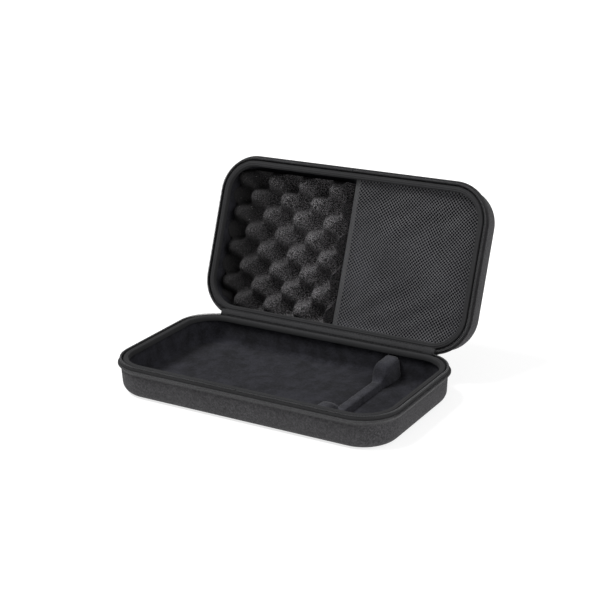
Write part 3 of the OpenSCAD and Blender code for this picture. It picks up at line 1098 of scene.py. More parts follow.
@dataclass
class CaseShell:
    """One half of the case: moulded skin, piped lip, lining, binding and zip."""

    case: CaseFrame
    half: Half
    height: float
    wall: float
    edge_radius: float
    zip_start: float
    lean: float = 3.0
    lip_out: float = 4.0
    lip_h: float = 4.5
    lining: float = 1.0
    band_outer: float = -7.1
    band_inner: float = -15.5
    band_h: float = 5.5
    rib_count: int = 3
    rib_depth: float = 0.55
    tape_inner: float = -4.8
    tape_outer: float = -3.6
    tape_top: float = 4.3
    coil_offset: float = -4.2
    coil_width: float = 2.4
    coil_height: float = 1.9
    coil_pitch: float = 1.8
    zip_gap: float = 0.2
    piping_r: float = 0.95
    flare_h: float = 5.0
    tip_length: float = 16.0
    edge_steps: int = 10
    flare_steps: int = 8
    flare_curve: float = 2.6
    binding_steps: int = 36

    @property
    def back(self) -> int:
        """Which way the hinge side faces in this shell's own frame."""
        return 1 if self.half is Half.BASE else -1

    @property
    def rim(self) -> RimLine:
        """The rim line that the shell's profiles follow."""
        return self.case.rim

    def edge(self) -> float:
        """Offset of the moulded edge's centre."""
        lean, r = math.radians(self.lean), self.edge_radius
        rise = self.height - self.lip_h - r + r * math.sin(lean)
        return -self.lip_out - rise * math.tan(lean) - r * math.cos(lean)

    def wall_at(self, inset: float, z: float) -> float:
        """Offset of the moulding's surface moved in by inset, at a height on the wall."""
        lean, r = math.radians(self.lean), self.edge_radius
        return self.edge() + (r - inset) / math.cos(lean) + (z - r) * math.tan(lean)

    def _line(self, inset: float, top: float) -> list[Point]:
        """The moulding's outline.

        Args:
            inset: how far it is moved in.
            top: height at which it ends.

        Returns:
            Its points, from the floor up.
        """
        r = self.edge_radius
        floor = [(-self.rim.radius, inset)]
        bend = arc((self.edge(), r), r - inset, -90, -self.lean, self.edge_steps)
        return floor + bend + [(self.wall_at(inset, top), top)]

    def build(self) -> None:
        """Builds and dresses every piece of this half."""
        self._skin()
        self._lip()
        self._lining()
        self._binding()
        self._zip_tape()
        self._zip_coil()

    def _keep(
        self, obj: bpy.types.Object, finish: Finish, replaces: Sequence[str] = (),
        smooth: float = 40.0,
    ) -> None:
        """Settles and dresses one piece of this half, and lets it ride the half's body.

        Args:
            obj: the piece, drawn in this half's own frame.
            finish: its finish.
            replaces: CAD nodes that it stands for.
            smooth: angle in degrees under which edges are shaded smooth.
        """
        settle(obj, self.case.place(self.half))
        dress(obj, finish, replaces, smooth)
        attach(obj, self.half.value)

    def _skin(self) -> None:
        """The moulded shell, with a shallow groove where the lip's cloth is turned under."""
        h, lip = self.height, self.height - self.lip_h
        outer = self._line(0.0, lip - 1.2)
        edge = [(0.5, lip - 0.4), (0.1, lip + 0.6), (0.0, h - 0.7), (0.7, h), (self.wall, h)]
        edge = [(self.wall_at(inset, z), z) for inset, z in edge]
        inner = list(reversed(self._line(self.wall, h - 0.01)))[1:]
        name = f"{self.half.value}_moulded_shell"
        obj = self.rim.sweep(name, outer + edge + inner, self.back, closed=False)
        self._keep(obj, SKIN, [f"{self.half.value}_shell"], smooth=50)

    def _lip(self) -> None:
        """The lip round the front, the ends and the corners: the wall flares out to a fine
        piped edge. Its tips at the back run out into the wall."""
        h, r = self.height, self.piping_r
        low = h - self.lip_h - self.flare_h
        root = self.wall_at(0.5, low)
        flare = []
        for i in range(self.flare_steps + 1):
            t = i / self.flare_steps
            z = low + (h - 2.3 * r - low) * t
            wall = self.wall_at(0.0, z)
            flare.append((wall - 0.3 * (1 - t) + (-wall - 0.55) * t**self.flare_curve, z))
        bead = arc((-r, h - r - 0.3), r, -70, 105, 10)
        behind = -self.lip_out - 0.6
        tuck = [(-2.2 * r - 0.2, h - 0.75), (behind, h - 0.6), (behind, low)]
        profile = [(root, low)] + flare + [(-0.75, h - 2.1 * r - 0.3)] + bead + tuck
        name = f"{self.half.value}_lip_piping"
        obj = self.rim.sweep(name, profile, self.back, start=self.rim.corner_x)
        self._taper(obj)
        self._keep(obj, LIP, smooth=50)

    def _taper(self, obj: bpy.types.Object) -> None:
        """Lets the lip's two tips run out into the wall.

        Args:
            obj: the swept lip.
        """
        for vertex in obj.data.vertices:
            along, offset = self.rim.measure(vertex.co.x, vertex.co.y)
            if vertex.co.y * self.back < 0 or along > self.rim.corner_x + self.tip_length:
                continue
            t = max(0.0, (along - self.rim.corner_x) / self.tip_length)
            share = t * t * (3 - 2 * t)
            target = min(offset, self.wall_at(0.4, vertex.co.z))
            move = (target - offset) * (1 - share)
            x, y = vertex.co.x, vertex.co.y
            out = Vector((abs(x) - self.rim.corner_x, abs(y) - self.rim.corner_y))
            out.normalize()
            vertex.co.x += math.copysign(out.x * move, x)
            vertex.co.y += math.copysign(out.y * move, y)

    def _lining(self) -> None:
        """The felt that covers the floor and the walls."""
        outer = self._line(self.wall, self.height - 0.02)
        inner = list(reversed(self._line(self.wall + self.lining, self.height - 0.02)))
        name = f"{self.half.value}_felt_lining"
        obj = self.rim.sweep(name, outer + inner, self.back, closed=False)
        self._keep(obj, LINING, [f"{self.half.value}_lining"], smooth=60)

    def _binding(self) -> None:
        """The padded binding inside the zip, sewn down in ribs."""
        middle = (self.band_outer + self.band_inner) / 2
        reach = (self.band_outer - self.band_inner) / 2
        points = []
        for i in range(self.binding_steps + 1):
            t = -1 + 2 * i / self.binding_steps
            crown = (1 - abs(t) ** 3.2) ** (1 / 2.2) if abs(t) < 1 else 0.0
            rib = 0.5 - 0.5 * math.cos(math.pi * self.rib_count * (t + 1))
            rise = (self.band_h - self.rib_depth * (1 - rib)) * crown
            points.append((middle - t * reach, self.height + max(rise, 0.0)))
        foot = [
            (self.band_inner + 0.3, self.height - 1.6), (self.band_outer - 0.3, self.height - 0.6),
        ]
        obj = self.rim.sweep(f"{self.half.value}_padded_binding", points + foot, self.back)
        Workbench.uneven(obj, 0.35, 9.0)
        self.rim.lay_uv(obj)
        self._keep(obj, BINDING, [f"{self.half.value}_binding"], smooth=60)

    def _zip_tape(self) -> None:
        """The upright tape that carries the zip coil."""
        low, high = self.height - 1.2, self.height + self.tape_top
        mid = (self.tape_inner + self.tape_outer) / 2
        outside = [
            (self.tape_outer, low), (self.tape_outer, high - 0.5),
            (self.tape_outer - 0.2, high - 0.1),
        ]
        inside = [
            (self.tape_inner + 0.2, high - 0.1), (self.tape_inner, high - 0.5),
            (self.tape_inner, low),
        ]
        section = outside + [(mid, high)] + inside
        name = f"{self.half.value}_woven_zip_tape"
        obj = self.rim.sweep(name, section, self.back, start=self.zip_start)
        self.rim.lay_uv(obj)
        self._keep(obj, ZIP_TAPE, [f"{self.half.value}_zip_tape"])

    def _zip_coil(self) -> None:
        """The coil: one turn of wire repeated along the tape's edge."""
        thick = 0.62 * self.coil_pitch
        name = f"{self.half.value}_wound_zip_coil"
        turn = Workbench.rod(name, (0, 0, 0), 0.5, self.coil_width, "Y", sides=8)
        turn.scale = (thick, 1.0, self.coil_height)
        Workbench.focus(turn)
        bpy.ops.object.transform_apply(location=True, rotation=True, scale=True)
        with Workbench.editing(turn):
            Workbench.pick(turn, "faces", lambda face: abs(face.normal.y) > 0.9)
            bpy.ops.mesh.inset(thickness=0.22, depth=0.0)
            for sign in (-1, 1):
                Workbench.pick(turn, "verts", lambda v: (
                    v.co.y * sign > 1.0
                    and math.hypot(v.co.x / thick, v.co.z / self.coil_height) > 0.38
                ))
                bpy.ops.transform.translate(value=(0, -0.3 * sign, 0))
        height = self.height + self.case.zip_half - self.zip_gap - self.coil_height / 2
        obj = self.rim.run_of(
            turn, self.coil_pitch, self.coil_offset, height, self.back, self.zip_start
        )
        self._keep(obj, COIL, [f"{self.half.value}_zip_coil"], smooth=60)


# --- hinge


@dataclass
class Hinge:
    """The cloth that joins the lid to the base: a strip outside, and a sewn tape inside."""

    case: CaseFrame
    base: CaseShell
    length: float = 224.0
    half_strip: float = 13.0
    thickness: float = 1.0
    inner_length: float = 338.0
    rounding: float = 12.0
    end_share: float = 0.62
    stitch_pitch: float = 4.8
    stitch_l: float = 2.8
    thread_r: float = 0.6
    stitch_rows: tuple[float, float] = (0.30, 0.66)
    strip_steps: int = 44
    tape_steps: int = 78
    arc_steps: int = 18

    def build(self) -> None:
        """Builds the strip, the tape and their stitches."""
        self._strip()
        self._inner_tape()

    def _both(self, points: Sequence[Point]) -> list[Point]:
        """A line on the closed base, followed by its mirror image on the opened lid.

        Args:
            points: the line's points (Y, Z).

        Returns:
            The points of both.
        """
        zip_z = self.case.hinge_z
        lid = [self.case.opened(y, 2 * zip_z - z) for y, z in reversed(points)]
        return list(points) + lid

    def _strip(self) -> None:
        """The outer strip, folded at the hinge line."""
        low = self.case.hinge_z - self.half_strip
        shoulder = self.case.base_h - self.base.lip_h
        half_depth = self.case.rim.depth / 2
        wall_low = half_depth + self.base.wall_at(0.0, low)
        face = self.case.hinge_y
        t = self.thickness
        outer = [(wall_low + 0.35, low), (wall_low + 0.9 * t, low + 0.7), (face - 0.02, shoulder)]
        rise = self.case.hinge_z - shoulder
        outer += [(face, shoulder + rise * k) for k in (0.35, 0.7, 0.9, 0.98)]
        inner = [(wall_low, low), (half_depth + self.base.wall_at(0, shoulder), shoulder)]
        inner += [(face - t, shoulder + rise * k) for k in (0.5, 0.9)]
        bend = []
        for i in range(1, 8):
            turn = math.radians(180 - self.case.open_angle * i / 8)
            bend.append((face + t * math.cos(turn), self.case.hinge_z + t * math.sin(turn)))
        inside = self._both(inner)
        half = len(inner)
        ring = self._both(outer) + list(reversed(inside[:half] + bend + inside[half:]))
        rings = [
            [(-self.length / 2 + self.length * i / self.strip_steps, y, z) for y, z in ring]
            for i in range(self.strip_steps + 1)
        ]
        obj = Workbench.loft("outer_hinge_strip", rings)
        settle(obj, Matrix.Scale(MM, 4))
        dress(obj, STRIP, ["hinge_strip_base", "hinge_strip_lid"], smooth=45)
        y1, z1 = self.case.opened(face - t, self.case.hinge_z)
        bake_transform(obj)
        lean = (face - wall_low) / (shoulder - low)
        line = (wall_low + 0.9 * t + lean * 2.4, low + 2.4)
        lid_line = self.case.opened(line[0], 2 * self.case.hinge_z - line[1])
        for body, place in (("base", line), ("lid", lid_line)):
            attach(self._stitches(f"strip_stitches_{body}", [place], self.length / 2 - 3), body)

    def _inner_tape(self) -> None:
        """The tape that covers the gap inside the hinge, from one binding to the other."""
        edge = self.case.rim.depth / 2 + self.base.band_outer - 0.6
        low = self.case.base_h + 2.2
        centre = Vector((self.case.hinge_y, self.case.hinge_z))
        spoke = Vector((edge, low)) - centre
        radius = spoke.length
        start = math.atan2(spoke.y, spoke.x) % (2 * math.pi)
        mirrored = Vector(self.case.opened(edge, 2 * self.case.hinge_z - low)) - centre
        end = math.atan2(mirrored.y, mirrored.x)
        tails = [(edge + 0.2, self.case.base_h - 0.4), (edge + 1.1, self.case.base_h - 0.4)]
        tails += [self.case.opened(y, 2 * self.case.hinge_z - z) for y, z in reversed(tails)]

        def on_arc(share: float, depth: float) -> Point:
            """A point of the tape's curve.

            Args:
                share: place across the tape, from 0 to 1.
                depth: depth under its outer face.

            Returns:
                The point (Y, Z).
            """
            turn = start + (end - start) * share
            return (
                centre.x + (radius - depth) * math.cos(turn),
                centre.y + (radius - depth) * math.sin(turn),
            )

        rings: list[Ring] = []
        half = self.inner_length / 2
        for i in range(self.tape_steps + 1):
            x = -half + 2 * half * i / self.tape_steps
            left = min(1.0, (half - abs(x)) / self.rounding)
            width = self.end_share + (1 - self.end_share) * math.sqrt(1 - (1 - left) ** 2)
            shares = [
                0.5 + width * (k / self.arc_steps - 0.5) for k in range(self.arc_steps + 1)
            ]
            outer = [on_arc(share, 0.0) for share in shares]
            inner = [on_arc(share, self.thickness * 0.9) for share in reversed(shares)]
            ends = [outer[0], inner[-1], inner[0], outer[-1]]
            reach = max(0.0, (width - 0.9) / 0.1)
            feet = [
                (y0 + (y1 - y0) * reach, z0 + (z1 - z0) * reach)
                for (y0, z0), (y1, z1) in zip(ends, tails)
            ]
            ring = [feet[0]] + outer + [feet[3], feet[2]] + inner + [feet[1]]
            rings.append([(x, y, z) for y, z in ring])
        obj = Workbench.loft("inner_hinge_tape", rings)
        settle(obj, Matrix.Scale(MM, 4))
        dress(obj, STRIP, smooth=60)
        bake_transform(obj)
        lines = [on_arc(share, -0.15) for share in self.stitch_rows]
        stitches = self._stitches("inner_tape_stitches", lines, half - self.rounding)
        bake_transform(stitches)

    def _stitches(self, name: str, lines: Sequence[Point], half: float) -> bpy.types.Object:
        """Rows of stitches along X, one short thread repeated.

        Args:
            name: the piece's name.
            lines: where each row lies in Y and Z.
            half: half the rows' length.

        Returns:
            The settled and dressed stitches, riding no body yet.
        """
        rows = []
        for y, z in lines:
            thread = Workbench.rod(name, (-half, y, z), self.thread_r, self.stitch_l, "X", sides=8)
            Workbench.bevel(thread, self.thread_r * 0.6, segments=2, angle=60)
            Workbench.modify(
                thread, "ARRAY", count=int(2 * half / self.stitch_pitch), use_relative_offset=False,
                use_constant_offset=True, constant_offset_displace=(self.stitch_pitch, 0, 0),
            )
            rows.append(thread)
        obj = Workbench.join(name, rows)
        settle(obj, Matrix.Scale(MM, 4))
        return dress(obj, THREAD, smooth=60)


# --- divider


@dataclass
class Divider:
    """The padded divider of the base: two blocks, with a low saddle between them."""

    case: CaseFrame
    base: CaseShell
    middle_x: float = 110.0
    block_w: float = 24.0
    saddle_w: float = 14.0
    front_reach: float = 58.0
    rear_reach: float = 52.0
    top: float = 38.0
    saddle_top: float = 17.0
    flare: float = 3.4
    nose: float = 18.0
    end_gap: float = 11.6
    sunk: float = 0.3
    ring_steps: int = 20
    length_steps: int = 56

    def build(self) -> None:
        """Builds the divider as one soft form lofted from front to back."""
        depth = self.case.rim.depth
        floor = self.base.wall + self.base.lining - self.sunk
        front, rear = -depth / 2 + self.front_reach, depth / 2 - self.rear_reach
        ends = (-depth / 2 + self.end_gap, depth / 2 - self.end_gap)
        rings: list[Ring] = []
        for i in range(self.length_steps + 1):
            y = ends[0] + (ends[1] - ends[0]) * i / self.length_steps
            front_share = self._shoulder(front - y)
            rear_share = self._shoulder(y - rear)
            share = max(front_share, rear_share)
            width = self.saddle_w + (self.block_w - self.saddle_w) * share
            top = self.saddle_top + (self.top - self.saddle_top) * share
            foot = self._foot(y)
            rings.append(self._ring(y, width, max(top, foot + 4), max(foot, floor)))
        obj = Workbench.loft("padded_divider", rings)
        Workbench.modify(obj, "SUBSURF", levels=1, render_levels=1)
        Workbench.uneven(obj, 0.7, 16.0)
        settle(obj, Matrix.Scale(MM, 4))
        nodes = ["front_buffer", "rear_buffer", "divider_bridge"]
        dress(obj, PADDING, nodes, smooth=70)
        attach(obj, "base")

    def _shoulder(self, inside: float) -> float:
        """How much of a block's size there is, this far inside its nose."""
        t = min(max((inside + 3.0) / self.nose, 0.0), 1.0)
        return math.sqrt(1 - (1 - t) ** 2)

    def _foot(self, y: float) -> float:
        """Height of the lining's surface under the divider.

        Args:
            y: the place along the divider.

        Returns:
            The height, less what the divider sinks in.
        """
        shell = self.base
        inset = shell.wall + shell.lining
        offset = abs(y) - self.case.rim.depth / 2
        edge, r = shell.edge(), shell.edge_radius - inset
        if offset <= edge:
            return inset - self.sunk
        reach = min(offset - edge, r * 0.999)
        return shell.edge_radius - math.sqrt(r * r - reach * reach) - self.sunk

    def _ring(self, y: float, width: float, top: float, foot: float) -> Ring:
        """One upright section: a rounded top, straight sides and a flat foot.

        Args:
            y: where the section stands.
            width: its width.
            top: height of its top.
            foot: height of its foot.

        Returns:
            The section's points.
        """
        ring: Ring = []
        half, height = width / 2, top - foot
        for k in range(self.ring_steps + 1):
            turn = math.pi * k / self.ring_steps
            c, rise = math.cos(turn), abs(math.sin(turn)) ** 0.6
            x = half * math.copysign(abs(c) ** 0.58, c)
            ring.append((self.middle_x + x, y, foot + height * (0.42 + 0.58 * rise)))
        skirt = ((-1, 0.6, 0.14), (-1, self.flare, 0.0), (1, self.flare, 0.0), (1, 0.6, 0.14))
        for side, out, up in skirt:
            ring.append((self.middle_x + side * (half + out), y, foot + height * up))
        return ring


# --- lid fittings


@dataclass
class EggCrateFoam:
    """The convoluted foam block glued into the lid."""

    case: CaseFrame
    lid: CaseShell
    x0: float = -201.5
    x1: float = -17.5
    y0: float = -98.0
    y1: float = 106.0
    glue_z: float = 4.5
    dip_z: float = 5.5
    peak_z: float = 37.0
    pitch_x: float = 50.0
    pitch_y: float = 51.0
    first_x: float = -36.0
    first_y: float = -85.25
    fullness: float = 1.4
    waist: float = 1.2
    step: float = 1.6
    cut_shade: float = 0.7
    clearance: float = 0.6

    def build(self) -> None:
        """Builds the block: a grid raised into peaks and dips, with cut sides."""
        Workbench.clear()
        across, along = self.x1 - self.x0, self.y1 - self.y0
        bpy.ops.mesh.primitive_grid_add(
            x_subdivisions=int(across / self.step), y_subdivisions=int(along / self.step),
            size=1.0,
            location=((self.x0 + self.x1) / 2, -(self.y0 + self.y1) / 2, 0),
        )
        obj = Workbench.named("convoluted_foam")
        obj.scale = (across, along, 1.0)
        bpy.ops.object.transform_apply(location=True, rotation=True, scale=True)
        for vertex in obj.data.vertices:
            vertex.co.z = self._height(vertex.co.x, -vertex.co.y)
        with Workbench.editing(obj, "EDGE"):
            Workbench.pick(obj, "edges", lambda edge: edge.is_boundary)
            bpy.ops.mesh.extrude_region_move()
            mesh = bmesh.from_edit_mesh(obj.data)
            for vertex in mesh.verts:
                if vertex.select:
                    vertex.co.z = self.glue_z
            bmesh.update_edit_mesh(obj.data)
            bpy.ops.mesh.edge_face_add()
        Workbench.close_up(obj)
        self._lay_heights(obj)
        self._round_corners(obj)
        settle(obj, self.case.place(Half.LID))
        dress(obj, FOAM, ["foam_layer", "foam_peaks_front", "foam_peaks_hinge"], smooth=50)
        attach(obj, "lid")

    def _lay_heights(self, obj: bpy.types.Object) -> None:
        """Writes the cut's height, from 0 in a dip to 1 on a peak, to the UV map; the foam's finish
        paints shade into the dips from it, and the upright cut sides get cut_shade's painted shade.

        Args:
            obj: the foam block.
        """
        layer = obj.data.uv_layers.new(name="cut_height")
        for face in obj.data.polygons:
            upright = abs(face.normal.z) < 0.05
            for loop in face.loop_indices:
                z = obj.data.vertices[obj.data.loops[loop].vertex_index].co.z
                share = self.cut_shade if upright else (z - self.dip_z) / (self.peak_z - self.dip_z)
                layer.data[loop].uv = (share, 0.0)

    def _height(self, x: float, y: float) -> float:
        """Height of the cut surface.

        Args:
            x: the place's X.
            y: the place's Y, in the closed lid.

        Returns:
            The height in the lid's own frame.
        """
        wave = math.cos(2 * math.pi * (x - self.first_x) / self.pitch_x)
        wave *= math.cos(2 * math.pi * (y - self.first_y) / self.pitch_y)
        share = 0.5 + 0.5 * math.tanh(self.fullness * wave) / math.tanh(self.fullness)
        share = max(0.0, share) ** self.waist
        return self.dip_z + (self.peak_z - self.dip_z) * share

    def _round_corners(self, obj: bpy.types.Object) -> None:
        """Trims the block to the lid's rounded corners, by moving its points inwards.

        Args:
            obj: the foam block.
        """
        rim = self.case.rim
        limit = -self.lid.lip_out - self.lid.wall - self.lid.lining - self.clearance
        for vertex in obj.data.vertices:
            _, offset = rim.measure(vertex.co.x, vertex.co.y)
            lean = (self.lid.height - vertex.co.z) * math.tan(math.radians(self.lid.lean))
            low = max(0.0, self.lid.edge_radius - vertex.co.z)
            r = self.lid.edge_radius
            curve = r - math.sqrt(max(r * r - low * low, 0.0)) if low > 0 else 0.0
            over = offset - (limit - lean - curve)
            if over > 0:
                ax, ay = abs(vertex.co.x) - rim.corner_x, abs(vertex.co.y) - rim.corner_y
                out = Vector((max(ax, 0.0), max(ay, 0.0)))
                if out.length > 0:
                    out.normalize()
                    vertex.co.x -= math.copysign(out.x * over, vertex.co.x)
                    vertex.co.y -= math.copysign(out.y * over, vertex.co.y)


@dataclass
class NetPocket:
    """The net over the other half of the lid, with its elastic mouth."""

    case: CaseFrame
    lid: CaseShell
    mouth_x: float = 4.0
    elastic_w: float = 7.0
    elastic_t: float = 2.4
    net_z: float = 45.5
    cell: float = 3.5
    thread: float = 0.66
    thickness: float = 0.5
    hem_offset: float = -6.6
    sag: float = 5.0
    drawn: float = 1.8
    hem: float = 6.0
    band_ribs: int = 5
    rib_steps: int = 40
    band_steps: int = 70

    def build(self) -> None:
        """Builds the net and the elastic band."""
        net = self._net()
        band = self._elastic()
        rim = self.case.rim

    def _net(self) -> bpy.types.Object:
        """A net of threads: diamond cells in rows, inset one by one, rounded and opened."""
        Workbench.clear()
        half_cell = self.cell / math.sqrt(2)
        bpy.ops.mesh.primitive_circle_add(vertices=4, radius=half_cell, fill_type="NGON")
        obj = Workbench.named("pocket_net")
        twin = Workbench.copy(obj, (half_cell, half_cell, 0))
        obj = Workbench.join("pocket_net", [obj, twin])
        half_w, half_d = self.case.rim.width / 2, self.case.rim.depth / 2
        step = 2 * half_cell
        columns = int((half_w - self.mouth_x) / step) + 1
        rows = int(2 * half_d / step) + 1
        for count, shift in ((columns, (step, 0, 0)), (rows, (0, step, 0))):
            Workbench.modify(
                obj, "ARRAY", count=count, use_relative_offset=False, use_constant_offset=True,
                constant_offset_displace=shift,
            )
        obj.location = (self.mouth_x + 2.5, -half_d, self.net_z)
        Workbench.focus(obj)
        bpy.ops.object.transform_apply(location=True, rotation=True, scale=True)
        with Workbench.editing(obj, "FACE"):
            bpy.ops.mesh.select_all(action="SELECT")
            bpy.ops.mesh.remove_doubles(threshold=0.02)
            Workbench.pick(obj, "faces", self._outside)
            bpy.ops.mesh.delete(type="FACE")
            bpy.ops.mesh.select_all(action="SELECT")
            bpy.ops.mesh.inset(thickness=self.thread / 2, use_individual=True)
            bpy.ops.mesh.bevel(offset=self.cell * 0.2, affect="VERTICES", segments=1)
            Workbench.pick(obj, "faces", lambda face: len(face.verts) == 8)
            bpy.ops.mesh.delete(type="FACE")
        for vertex in obj.data.vertices:
            x, y = vertex.co.x, vertex.co.y
            pull = self._pull(x, y)
            vertex.co.z -= self._sag(x, y)
            vertex.co.x += pull * math.sin(y * 0.071 + x * 0.033)
            vertex.co.y += pull * math.sin(x * 0.083 - y * 0.027)
        Workbench.modify(
            obj, "SOLIDIFY", thickness=self.thickness, offset=0.0, use_even_offset=False
        )
        settle(obj, self.case.place(Half.LID))
        dress(obj, NET, ["mesh_pocket"], smooth=60)
        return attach(obj, "lid")

    def _outside(self, face: Any) -> bool:
        """Whether a cell lies outside the pocket's hem.

        Args:
            face: the cell.

        Returns:
            True where the cell is to be cut away.
        """
        middle = face.calc_center_median()
        _, offset = self.case.rim.measure(middle.x, middle.y)
        return offset > self.hem_offset or middle.x < self.mouth_x + 3.0

    def _pull(self, x: float, y: float) -> float:
        """How far the net's rows are drawn out of line, in the middle more than at the hem."""
        _, offset = self.case.rim.measure(x, y)
        return self.drawn * min(1.0, max(0.0, (self.hem_offset - offset) / 30.0))

    def _sag(self, x: float, y: float) -> float:
        """How far the slack net hangs in from its plane.

        Args:
            x: the place's X.
            y: the place's Y.

        Returns:
            The depth in millimetres.
        """
        _, offset = self.case.rim.measure(x, y)
        edge = min(1.0, max(0.0, (self.hem_offset - 8 - offset) / 40.0))
        mouth = min(1.0, max(0.0, (x - self.mouth_x - 6) / 45.0))
        slack = math.sin(x * 0.061 + y * 0.018) * math.cos(y * 0.047 - x * 0.013)
        slack += 0.4 * math.sin(x * 0.10 - y * 0.12 + 2.0 * math.sin(y * 0.04))
        return self.sag * math.sqrt(edge * mouth) * (0.75 + 0.35 * slack)

    def _elastic(self) -> bpy.types.Object:
        """The ribbed elastic band along the pocket's mouth."""
        reach = self.case.rim.depth / 2 - 7.4
        z0 = self.net_z + 0.5 - (1.0 + self.elastic_t) / 2
        x0, x1 = self.mouth_x, self.mouth_x + self.elastic_w
        upper, lower = [], []
        for i in range(self.rib_steps + 1):
            t = i / self.rib_steps
            edge = (1 - abs(2 * t - 1) ** 6) ** 0.5
            rib = 0.5 - 0.5 * math.cos(2 * math.pi * self.band_ribs * t)
            half = self.elastic_t / 2 * (0.55 + 0.45 * rib) * edge
            upper.append((x0 + self.elastic_w * t, z0 + half))
            lower.append((x0 + self.elastic_w * t, z0 - half))
        section = upper + list(reversed(lower))[1:-1]
        rings = []
        for i in range(self.band_steps + 1):
            y = -reach + 2 * reach * i / self.band_steps
            bow = 0.9 * math.sin(math.pi * i / self.band_steps)
            rings.append([(x + bow, y, z) for x, z in section])
        obj = Workbench.loft("pocket_mouth_elastic", rings)
        layer = obj.data.uv_layers.new(name="along_band")
        for loop in obj.data.loops:
            place = obj.data.vertices[loop.vertex_index].co
            layer.data[loop.index].uv = (place.y, place.x)
        settle(obj, self.case.place(Half.LID))
        dress(obj, ELASTIC, ["pocket_elastic"], smooth=60)
        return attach(obj, "lid")


# --- handle and zip hardware


def fit(
    obj: bpy.types.Object, finish: Finish, replaces: Sequence[str], body: str,
    smooth: float = 35.0,
) -> None:
    """Settles a piece drawn in the base's frame, dresses it and lets it ride a body.

    Args:
        obj: the piece.
        finish: its finish.
        replaces: CAD nodes that it stands for.
        body: the body it rides.
        smooth: angle in degrees under which edges are shaded smooth.
    """
    settle(obj, Matrix.Scale(MM, 4))
    dress(obj, finish, replaces, smooth)
    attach(obj, body)


